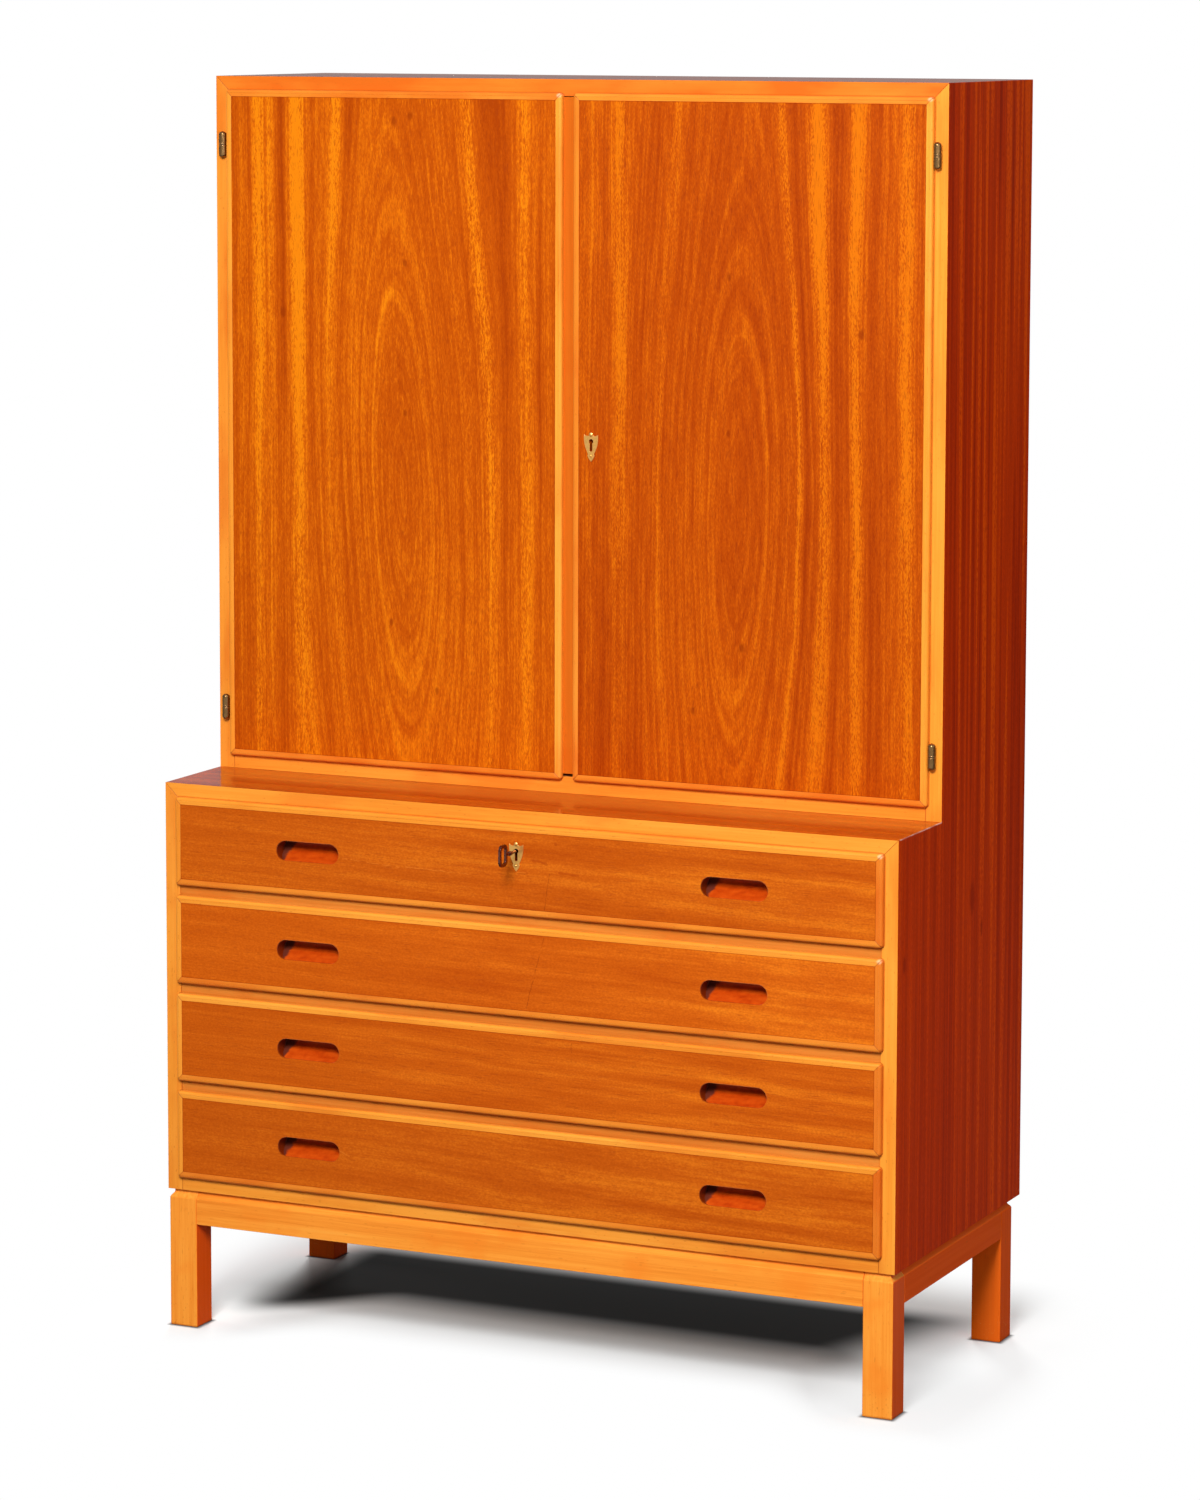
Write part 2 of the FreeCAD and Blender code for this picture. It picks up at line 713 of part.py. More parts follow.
def lock_room(name, middle, face):
    """The room in a lock where the bit of the key turns."""
    start = face + p.tongue_depth + s.lock_wall
    return rod(name, (middle[0], start, middle[1]), s.chamber_radius, s.lock_depth - 2 * s.lock_wall, "Y")


def lock_middle(face):
    """The plane in the middle of a lock, where its bolt and the key's bit are."""
    return face + p.tongue_depth + s.lock_depth / 2


def bolt_depth(face, play):
    """The Y range of a lock's bolt, with some play."""
    half = s.bolt_thickness / 2 + play
    return (lock_middle(face) - half, lock_middle(face) + half)


def drawer_lock():
    """The lock of the top drawer, whose bolt rises into the ledge board. Returns its mortise."""
    face = p.front
    x, z = drawer_keyhole
    seat = face + p.tongue_depth
    top = p.ledge - s.board - s.front_clearance
    half = s.drawer_lock_width / 2
    shell = block(
        "drawer_lock_shell",
        (x - half, seat, top - s.drawer_lock_height),
        (x + half, seat + s.lock_depth, top),
    )
    channel_half = s.drawer_bolt_width / 2 + s.bolt_play
    depth = bolt_depth(face, s.bolt_play)
    channel = block(
        "drawer_lock_channel",
        (x - channel_half, depth[0], z),
        (x + channel_half, depth[1], top + s.overrun),
    )
    bearing = s.shank_radius + s.key_play
    entry = keyhole("drawer_lock_entry", drawer_keyhole, seat - s.overrun, lock_middle(face), bearing)
    end = seat + s.lock_depth + s.overrun
    bore = rod("drawer_lock_bore", (x, lock_middle(face), z), bearing, end - lock_middle(face), "Y")
    room = lock_room("drawer_lock_room", drawer_keyhole, face)
    keep(cut("drawer_lock", shell, channel, entry, bore, room))

    bolt_half = s.drawer_bolt_width / 2
    bolt_top = top - s.bolt_play
    near_y, far_y = bolt_depth(face, 0)
    low = (x - bolt_half, near_y, z + s.bolt_rise)
    keep(block("drawer_lock_bolt", low, (x + bolt_half, far_y, bolt_top)))
    near_y, far_y = bolt_depth(face, s.mortise_play)
    mortise_half = bolt_half + s.mortise_play
    return block(
        "drawer_mortise",
        (x - mortise_half, near_y, top - s.overrun),
        (x + mortise_half, far_y, bolt_top + s.drawer_bolt_throw + s.mortise_play),
    )


def door_lock():
    """The lock of the right door, whose bolt slides into the closing strip. Returns its mortise."""
    face = p.upper_front
    x, z = door_keyhole
    seat = face + p.tongue_depth
    edge = s.door_gap / 2 + p.tongue_inset
    half = s.door_lock_height / 2
    shell = block(
        "door_lock_shell",
        (edge, seat, z - half),
        (edge + s.door_lock_width, seat + s.lock_depth, z + half),
    )
    tip = edge + s.bolt_play
    heel = tip + s.door_bolt_length
    low_z = z + s.bolt_rise
    high_z = low_z + s.door_bolt_height
    near_y, far_y = bolt_depth(face, s.bolt_play)
    channel = block(
        "door_lock_channel",
        (edge - s.overrun, near_y, low_z - s.bolt_play),
        (heel + s.bolt_play, far_y, high_z + s.bolt_play),
    )
    reach = block("door_lock_reach", (x - s.chamber_radius, near_y, z), (heel + s.bolt_play, far_y, low_z))
    entry = keyhole("door_lock_entry", door_keyhole, seat - s.overrun, lock_middle(face), s.keyhole_radius)
    room = lock_room("door_lock_room", door_keyhole, face)
    keep(cut("door_lock", shell, channel, reach, entry, room))

    near_y, far_y = bolt_depth(face, 0)
    keep(block("door_lock_bolt", (tip, near_y, low_z), (heel, far_y, high_z)))
    near_y, far_y = bolt_depth(face, s.mortise_play)
    return block(
        "door_mortise",
        (tip - s.door_bolt_throw - s.mortise_play, near_y, low_z - s.mortise_play),
        (edge, far_y, high_z + s.mortise_play),
    )


def key():
    """The key in the top drawer: bow, collar, shank and a bit that points down."""
    x, z = drawer_keyhole
    tip = p.front - s.lip_proud - s.key_reach
    bow_back = tip + s.bow_depth
    half_height = s.bow_height / 2
    half_thick = s.bow_thickness / 2
    band = s.bow_band

    def slab(name, inset, corner):
        """A plate as large as the bow less an inset all round."""
        low = (tip + inset, z - half_height + inset)
        high = (bow_back - inset, z + half_height - inset)
        plate = prism(name, "YZ", rectangle(low, high), x - half_thick, x + half_thick)
        soften(plate, lambda box: box.YLength < CLOSE and box.ZLength < CLOSE, corner)
        return plate

    plate = slab("key_bow_plate", Size.of(0), s.bow_corner)
    bow = cut("key_bow", plate, slab("key_eye", band, s.bow_corner - band))
    shank_start = bow_back - band / 2
    shank_end = p.front + p.tongue_depth + s.lock_depth - s.lock_wall / 2
    collar_start = p.front - s.lip_proud - s.collar_place - s.collar_length
    bit_start = lock_middle(p.front) - s.bit_length / 2
    half_bit = s.bit_thickness / 2
    keep(
        joined(
            "key",
            bow,
            rod("key_shank", (x, shank_start, z), s.shank_radius, shank_end - shank_start, "Y"),
            rod("key_collar", (x, collar_start, z), s.collar_radius, s.collar_length, "Y"),
            block(
                "key_bit",
                (x - half_bit, bit_start, z - s.bit_reach),
                (x + half_bit, bit_start + s.bit_length, z),
            ),
        )
    )


# Right half of a keyhole plate, from its top point down to its foot: across, as a share of the
# plate's half width, and up or down, as a share of its rise or its drop.
PLATE_SHARES = (
    (0, 1.3),
    (0.2, 0.95),
    (0.44, 0.77),
    (0.74, 0.82),
    (1.0, 1.0),
    (0.99, 0),
    (0.79, -0.32),
    (0.6, -0.49),
    (0.42, -0.62),
    (0.51, -0.7),
    (0.3, -0.86),
    (0, -1.0),
)
# The stretches between those points. Three make an arc, and two the short step below the waist.
PLATE_ARCS = ((0, 1, 2), (2, 3, 4), (4, 5, 6), (6, 7, 8), (8, 9), (9, 10, 11))


def plate_face(middle, outer):
    """The outline of a keyhole plate as a face, on the front of the wood."""
    x, z = (size.number for size in middle)
    edges = []
    for way in (1, -1):
        points = []
        for across_share, up_share in PLATE_SHARES:
            up = s.plate_rise if up_share > 0 else s.plate_drop
            right = way * across_share * s.plate_half_width.number
            points.append(FreeCAD.Vector(x + right, outer.number, z + up_share * up.number))
        for stretch in PLATE_ARCS:
            ends = [points[index] for index in stretch]
            edges.append((Part.Arc(*ends) if len(ends) > 2 else Part.LineSegment(*ends)).toShape())
    return Part.Face(Part.Wire(Part.__sortEdges__(edges)))


def keyhole_plate(label, middle, face):
    """A keyhole plate with its two pins. Returns the pins, which the wood is drilled for."""
    x, z = middle
    outer = face - s.lip_proud
    front = outer - s.plate_thickness
    sheet = doc.addObject("Part::Feature", f"{label}_sheet")
    sheet.Shape = plate_face(middle, outer).extrude(FreeCAD.Vector(0, -s.plate_thickness.number, 0))
    hole = keyhole(f"{label}_hole", middle, front - s.overrun, outer + s.overrun, s.keyhole_radius)
    pins = []
    pin_places = (
        ("upper", z + s.plate_pin_rise, s.plate_pin_radius),
        ("lower", z - s.plate_pin_drop, s.plate_low_pin_radius),
    )
    for name, pin_z, radius in pin_places:
        tag = f"{label}_{name}"
        ball = dome(f"{tag}_ball", (x, front, pin_z), radius, s.plate_pin_proud, "Y")
        behind = block(
            f"{tag}_behind",
            (x - radius, front, pin_z - radius),
            (x + radius, front + s.plate_pin_proud, pin_z + radius),
        )
        body = rod(f"{tag}_body", (x, front, pin_z), s.nail_radius, s.nail_length, "Y")
        pins.append(joined(f"{tag}_pin", cut(f"{tag}_head", ball, behind), body))
    keep(group(label, [cut(f"{label}_plate", sheet, hole, *pins), *pins]))
    return pins


# Fronts


def front_piece(label, panel_label, low, high, face, panel_tools, knuckles=None):
    """A veneered panel in a mitred edging, whose lip covers the edges of its opening."""
    outer = face - s.lip_proud
    lip_back = face - s.lip_gap
    tongue_back = face + p.tongue_depth
    lip = prism(f"{label}_lip", "XZ", rectangle(low, high), outer, lip_back)
    soften(lip, lambda box: box.XLength < CLOSE and box.ZLength < CLOSE, s.lip_corner)
    soften(lip, lambda box: box.YMax < outer.number + CLOSE, s.lip_round)
    inset = p.tongue_inset
    tongue = block(
        f"{label}_tongue",
        (low[0] + inset, lip_back, low[1] + inset),
        (high[0] - inset, tongue_back, high[1] - inset),
    )
    whole = joined(f"{label}_whole", lip, tongue)
    rim = s.front_edging
    inner_low = (low[0] + rim, low[1] + rim)
    inner_high = (high[0] - rim, high[1] - rim)
    corners = list(zip(rectangle(low, high), rectangle(inner_low, inner_high)))
    strips = []
    for index, name in enumerate(("bottom", "right", "top", "left")):
        (start, inner_start), (end, inner_end) = corners[index], corners[(index + 1) % len(corners)]
        outline = [start, end, inner_end, inner_start]
        mitre = prism(f"{label}_{name}_mitre", "XZ", outline, outer, tongue_back)
        strips.append(overlap(f"{label}_{name}_strip", whole, mitre))
    if knuckles:
        edging = cut(f"{label}_edging", group(f"{label}_strips", strips), knuckles)
    else:
        edging = group(f"{label}_edging", strips)
    keep(edging)
    panel_name = f"{label}_blank" if panel_tools else panel_label
    panel = block(
        panel_name,
        (inner_low[0], outer, inner_low[1]),
        (inner_high[0], tongue_back, inner_high[1]),
    )
    keep(cut(panel_label, panel, *panel_tools) if panel_tools else panel)


def stadium(name, middle, start, end):
    """The opening of a finger pull, with round ends, from one depth to another."""
    x, z = middle
    radius = s.pull_height / 2
    straight = s.pull_length / 2 - radius
    bar = block(f"{name}_bar", (x - straight, start, z - radius), (x + straight, end, z + radius))
    ends = []
    for way, side in SIDES.items():
        ends.append(rod(f"{name}_{way}", (x + side * straight, start, z), radius, end - start, "Y"))
    return joined(name, bar, *ends)


def cup(label, middle, face):
    """The cup of a finger pull: its floor climbs inwards and rounds up into its back."""
    x, z = middle
    outer = face - s.lip_proud
    seat = face + p.tongue_depth
    deepest = outer + s.pull_depth
    half_length = s.pull_length / 2
    half_height = s.pull_height / 2
    wide = half_length + s.cup_margin
    tall = half_height + s.cup_margin
    rear = deepest + s.cup_wall
    backing = block(f"{label}_backing", (x - wide, seat, z - tall), (x + wide, rear, z + tall))
    plug = stadium(f"{label}_plug", middle, outer, seat)
    hole = stadium(f"{label}_hole", middle, outer - s.overrun, deepest)
    low = z - half_height
    knee = low + s.scoop_rise
    start = outer + s.scoop_start
    above = z + half_height + s.overrun
    outline = [
        (outer - s.overrun, low - s.overrun),
        (start, low - s.overrun),
        (start, low),
        (deepest, knee),
        (deepest, above),
        (outer - s.overrun, above),
    ]
    reach = half_length + s.overrun
    scoop = prism(f"{label}_scoop", "YZ", outline, x - reach, x + reach)

    def at_knee(box):
        """True for the edge where the floor meets the back."""
        return abs(box.YMin - deepest.number) < CLOSE and abs(box.ZMax - knee.number) < CLOSE

    soften(scoop, at_knee, s.scoop_round)
    hollow = overlap(f"{label}_hollow", hole, scoop)
    return cut(label, joined(f"{label}_solid", backing, plug), hollow), hole


def drawer_box(label, opening_low):
    """The sides, back and bottom of a drawer. The bottom sits in grooves of the sides."""
    near_y = p.front + p.tongue_depth
    far_y = near_y + s.box_length
    floor = opening_low + s.drawer_float
    rim = opening_low + p.drawer_opening - s.box_headroom
    outer = p.inner_half - s.drawer_clearance
    inner = outer - s.box_side
    bottom_low = floor + s.bottom_lift
    bottom_high = bottom_low + s.box_bottom
    panel_half = inner + s.bottom_bite
    bottom = across(f"{label}_bottom_panel", panel_half, (near_y, far_y), (bottom_low, bottom_high))
    pieces = [bottom]
    for name, side in SIDES.items():
        low_x, high_x = side_span(side, inner, outer)
        board = block(f"{label}_{name}_board", (low_x, near_y, floor), (high_x, far_y, rim))
        pieces.append(cut(f"{label}_{name}_side", board, bottom))
    pieces.append(across(f"{label}_back", inner, (far_y - s.box_side, far_y), (bottom_high, rim)))
    keep(group(f"{label}_box", pieces))


def drawer(number, label, tools):
    """One drawer: front with its edging, two pull cups and the box behind."""
    low_z = drawer_floor(number)
    high_z = low_z + p.drawer_opening
    wide = p.inner_half + s.lip_overlap
    low = (-wide, low_z - s.lip_overlap)
    high = (wide, high_z + s.lip_overlap)
    cups = []
    holes = []
    for name, side in SIDES.items():
        middle = (side * s.pull_spacing / 2, (low_z + high_z) / 2)
        made, hole = cup(f"{label}_{name}_cup", middle, p.front)
        cups.append(made)
        holes.append(hole)
    front_piece(label, f"{label}_front", low, high, p.front, [*holes, *tools])
    keep(group(f"{label}_cups", cups))
    drawer_box(label, low_z)


def door(name, tools, knuckles):
    """One door: a panel in its edging, let in for the knuckles of its hinges."""
    side = SIDES[name]
    low_x, high_x = side_span(side, s.door_gap / 2, p.inner_half + s.lip_overlap)
    low = (low_x, p.door_bottom - s.lip_overlap)
    high = (high_x, p.door_top + s.lip_overlap)
    front_piece(f"{name}_door", f"{name}_door_panel", low, high, p.upper_front, tools, knuckles)


def closing_strip(mortise):
    """The strip on the left door that closes the gap between the doors."""
    door_edge = -(s.door_gap / 2 + p.tongue_inset)
    near_y = p.upper_front - s.lip_gap
    low = (door_edge, near_y, p.door_bottom + s.strip_lift)
    high = (s.door_gap / 2 - s.strip_gap, near_y + s.strip_depth, p.door_top - s.front_clearance)
    keep(cut("closing_strip", block("closing_strip_bar", low, high), mortise))


def slide_bolts():
    """The slide bolts that hold the left door at its top and foot. Returns their mortises."""
    x = -(s.door_gap / 2 + p.tongue_inset + s.slide_inset)
    half = s.slide_width / 2
    seat = p.upper_front + p.tongue_depth
    near_y = seat + s.slide_play
    far_y = near_y + s.slide_thickness
    guide_half = half + s.slide_play + s.guide_wall
    guide_far = far_y + s.slide_play + s.guide_wall
    play = s.mortise_play
    upper_end = p.door_top - s.slide_rest
    lower_end = p.door_bottom + s.slide_rest
    spans = {
        "upper": (upper_end - s.slide_length, upper_end),
        "lower": (lower_end, lower_end + s.slide_length),
    }
    mortise_spans = {
        "upper": (upper_end, upper_end + s.slide_throw + play),
        "lower": (lower_end - s.slide_throw - play, lower_end),
    }
    guides = []
    mortises = {}
    for name, (low_z, high_z) in spans.items():
        bar = block(f"{name}_door_bolt_bar", (x - half, near_y, low_z), (x + half, far_y, high_z))
        knob_start = (x, near_y, (low_z + high_z) / 2)
        knob_length = s.slide_knob_length + s.slide_thickness
        knob = rod(f"{name}_door_bolt_knob", knob_start, s.slide_knob_radius, knob_length, "Y")
        keep(joined(f"{name}_door_bolt", bar, knob))
        guide_lows = (low_z + s.guide_end, high_z - s.guide_end - s.guide_height)
        for end, guide_low in zip(("foot", "head"), guide_lows):
            guide_high = guide_low + s.guide_height
            tag = f"{name}_guide_{end}"
            shell = block(
                f"{tag}_shell",
                (x - guide_half, seat, guide_low),
                (x + guide_half, guide_far, guide_high),
            )
            channel = block(
                f"{tag}_channel",
                (x - half - s.slide_play, seat - s.overrun, guide_low - s.overrun),
                (x + half + s.slide_play, far_y + s.slide_play, guide_high + s.overrun),
            )
            guides.append(cut(tag, shell, channel))
        low_end, high_end = mortise_spans[name]
        mortises[f"{name}_slide"] = block(
            f"{name}_slide_mortise",
            (x - half - play, near_y - play, low_end),
            (x + half + play, far_y + play, high_end),
        )
    keep(group("bolt_guides", guides))
    return mortises


# The whole cabinet

drawer_keyhole = (Size.of(0), p.ledge - s.board + s.lip_overlap - s.drawer_keyhole_drop)
door_keyhole = (s.door_gap / 2 + s.door_keyhole_inset, p.ledge + s.door_keyhole_rise)

screws = stand()
door_knuckles, case_knuckles = hinges()
pegs = shelves()
sides(pegs, case_knuckles)
mortises = {"drawer": drawer_lock(), **slide_bolts()}
boards(screws, mortises)
case_edging("lower_edging", s.stand_height, p.ledge, p.front, None)
case_edging("upper_edging", p.ledge, p.case_top, p.upper_front, case_knuckles)
dividers()
closing_strip(door_lock())
key()

for number, label in enumerate(DRAWERS, start=1):
    tools = []
    if label == LOCKED_DRAWER:
        tools = keyhole_plate("drawer_escutcheon", drawer_keyhole, p.front)
        tools.append(front_keyhole("drawer_keyhole", drawer_keyhole, p.front))
    drawer(number, label, tools)

door("left", [], door_knuckles["left"])
door_tools = keyhole_plate("door_escutcheon", door_keyhole, p.upper_front)
door_tools.append(front_keyhole("door_keyhole", door_keyhole, p.upper_front))
door("right", door_tools, door_knuckles["right"])


# Checks, and one file for each sub-part

doc.recompute()
for item in doc.Objects:
    if {"Invalid", "Error"} & set(item.State):
        raise RuntimeError(f"{item.Name} is {item.State}")
for piece in nodes:
    if piece.Shape.isNull() or not piece.Shape.isValid():
        raise RuntimeError(f"{piece.Label} has no valid shape")

os.makedirs("parts", exist_ok=True)
for piece in nodes:
    piece.Shape.exportStep(f"parts/{piece.Label}.step")
    print(f"{piece.Label}: {len(piece.Shape.Solids)} solids, {piece.Shape.Volume:.0f} cubic mm")
print(f"{len(nodes)} sub-parts")
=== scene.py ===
import json
import math

import bmesh
import bpy
import numpy as np
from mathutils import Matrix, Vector


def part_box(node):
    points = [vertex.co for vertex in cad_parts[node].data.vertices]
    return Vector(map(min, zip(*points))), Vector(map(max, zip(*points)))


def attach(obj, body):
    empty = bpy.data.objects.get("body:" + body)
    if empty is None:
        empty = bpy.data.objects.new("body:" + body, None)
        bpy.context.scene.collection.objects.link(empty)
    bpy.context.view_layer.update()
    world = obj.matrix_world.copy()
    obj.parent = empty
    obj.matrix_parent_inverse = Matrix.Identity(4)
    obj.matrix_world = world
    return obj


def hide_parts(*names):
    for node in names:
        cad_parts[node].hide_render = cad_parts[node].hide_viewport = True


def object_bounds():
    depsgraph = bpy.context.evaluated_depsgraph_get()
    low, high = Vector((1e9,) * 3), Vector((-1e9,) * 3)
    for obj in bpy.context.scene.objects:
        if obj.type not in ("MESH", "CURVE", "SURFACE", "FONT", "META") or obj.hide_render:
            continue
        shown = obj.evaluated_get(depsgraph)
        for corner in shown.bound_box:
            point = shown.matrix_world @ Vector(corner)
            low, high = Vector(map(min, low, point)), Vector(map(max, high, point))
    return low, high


bl_info = {
    "name": "Stepped Highboard",
    "version": (1, 0, 0),
    "blender": (4, 5, 0),
    "location": "3D View > Sidebar > Highboard",
    "description": "Dresses a stepped highboard: veneers, edgings, hinges, keyhole plates and key",
    "category": "Object",
}

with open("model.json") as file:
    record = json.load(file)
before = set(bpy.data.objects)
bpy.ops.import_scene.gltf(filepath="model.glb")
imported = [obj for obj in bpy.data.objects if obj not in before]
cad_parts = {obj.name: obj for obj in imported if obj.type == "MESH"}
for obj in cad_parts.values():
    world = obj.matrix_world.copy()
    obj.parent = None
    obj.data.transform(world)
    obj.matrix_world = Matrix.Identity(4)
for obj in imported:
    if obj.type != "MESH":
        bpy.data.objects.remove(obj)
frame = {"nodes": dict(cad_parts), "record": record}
CAD_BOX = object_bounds()
RECORD = frame["record"]
SLOT_OF = {part["node"]: part["material_slot"] for part in RECORD["subparts"]}
BODY_OF = {node: body for body, members in RECORD["behaviour"]["bodies"].items() for node in members}

MM = 0.001
AXES = "XYZ"
# Corners nearer than this are one corner.
SAME_PLACE = 1e-6
# Edges sharper than the first angle are eased, and faces flatter to each other than the second are one face.
SHARP = math.radians(35)
FLAT = math.radians(0.5)
DRAWERS = ("drawer_1", "drawer_2", "drawer_3", "drawer_4")


# What a user would change


def display(red, green, blue):
    """A colour as seen on screen, 0 to 255, as the linear colour that shaders use."""
    share = np.array([red, green, blue]) / 255
    linear = np.where(share <= 0.04045, share / 12.92, ((share + 0.055) / 1.055) ** 2.4)
    return tuple(float(value) for value in linear)


def colour_setting(name, description, *shown):
    """A colour that a user can change. Its default is given as it is seen on screen."""
    return bpy.props.FloatVectorProperty(
        name=name, description=description, subtype="COLOR", size=3, min=0, max=1, default=display(*shown)
    )


def length_setting(name, description, millimetres):
    """A length that a user can change. Its default is given in millimetres."""
    return bpy.props.FloatProperty(
        name=name, description=description, unit="LENGTH", min=0, default=millimetres * MM
    )


def level_setting(name, description, default, **limits):
    """A lamp's power or another level of light that a user can change."""
    return bpy.props.FloatProperty(name=name, description=description, min=0, default=default, **limits)


class HighboardColours(bpy.types.PropertyGroup):
    """Colours of the woods and metals."""

    edging: colour_setting("Edging", "Solid edging of case, doors and drawers", 246, 155, 50)
    closing: colour_setting("Closing strip", "Strip between the doors", 206, 100, 18)
    divider: colour_setting("Dividers", "Rails between the drawers", 214, 128, 46)
    stand: colour_setting("Stand", "Legs and rails", 255, 156, 54)
    left_door: colour_setting("Left door", "Middle tone of the left door's veneer", 193, 84, 4)
    right_door: colour_setting("Right door", "Middle tone of the right door's veneer", 182, 73, 3)
    drawers: colour_setting("Drawers", "Middle tone of the drawers' veneer", 206, 94, 14)
    # The sides' tone is redder than the fronts': partly the veneer's own, partly a painted shade on faces that
    # look sideways.
    sides: colour_setting("Sides", "Middle tone of the veneer on the sides", 222, 62, 0)
    tops: colour_setting("Tops", "Middle tone of the polished veneer on ledge and top", 186, 70, 2)
    cups: colour_setting("Pulls", "Scooped wood in the finger pulls", 204, 72, 8)
    inside: colour_setting("Inside", "Drawer boxes, shelves and floors", 206, 158, 104)
    backs: colour_setting("Backs", "Thin boards that close the back", 172, 128, 84)
    brass: colour_setting("Brass", "Keyhole plates", 244, 186, 104)
    bronze: colour_setting("Bronze", "Barrel hinges", 138, 106, 68)
    steel: colour_setting("Steel", "Locks, bolts, pegs and screws", 172, 168, 160)
    key: colour_setting("Key", "Dark steel of the key", 112, 72, 66)


class HighboardSizes(bpy.types.PropertyGroup):
    """Sizes of the small shapes that soften the cabinet."""

    board_ease: length_setting("Board edges", "How far the edges of boards are eased", 0.5)
    rail_ease: length_setting("Rail edges", "How far the edges of rails are rounded", 0.8)
    joint_ease: length_setting("Joint edges", "How far the edges at mitres and panels are eased", 0.3)
    leg_ease: length_setting("Leg edges", "How far the edges of legs are rounded", 1.6)
    metal_ease: length_setting("Metal edges", "How far the edges of plates are bevelled", 0.3)
    lip_corner: length_setting("Front corners", "Radius of the corners of doors and drawers", 5)
    pull_place: length_setting("Pull place", "Middle of a drawer to the middle of a finger pull", 306)
    pull_width: length_setting("Pull width", "Length of a finger pull", 92)
    pull_height: length_setting("Pull height", "Height of a finger pull", 26.5)
    back_inset: length_setting("Back boards", "How far the back boards lie inside the frame of the case", 0.4)
    nail_radius: length_setting("Nails", "Radius of the nail heads on the back", 2.2)
    nail_spacing: length_setting("Nail spacing", "Between two nails on the back", 95)


class HighboardLight(bpy.types.PropertyGroup):
    """Levels of the studio lamps."""

    key_power: level_setting("Key lamp", "Large soft lamp before the cabinet", 262, unit="POWER")
    fill_power: level_setting("Fill lamp", "Wide lamp on the right", 36, unit="POWER")
    left_power: level_setting("Left lamp", "Low lamp on the left", 36, unit="POWER")
    back_power: level_setting("Back lamp", "Wide lamp behind the cabinet", 190, unit="POWER")
    room: level_setting("Room", "Light from all around, where 1 is white", 0.26, max=1)


def colours():
    return bpy.context.scene.highboard_colours


def sizes():
    return bpy.context.scene.highboard_sizes


def lights():
    return bpy.context.scene.highboard_light


# Shader graphs


class Wire:
    """One output of a shader node. Arithmetic on it adds Math nodes."""

    def __init__(self, graph, socket):
        self.graph = graph
        self.socket = socket

    def math(self, operation, *others):
        return self.graph.node("ShaderNodeMath", {"operation": operation}, [self, *others])

    def __add__(self, other):
        return self.math("ADD", other)

    def __sub__(self, other):
        return self.math("SUBTRACT", other)

    def __mul__(self, other):
        return self.math("MULTIPLY", other)

    def __truediv__(self, other):
        return self.math("DIVIDE", other)

    def __rsub__(self, other):
        return self.graph.node("ShaderNodeMath", {"operation": "SUBTRACT"}, [other, self])

    def __abs__(self):
        return self.math("ABSOLUTE")

    __radd__ = __add__
    __rmul__ = __mul__


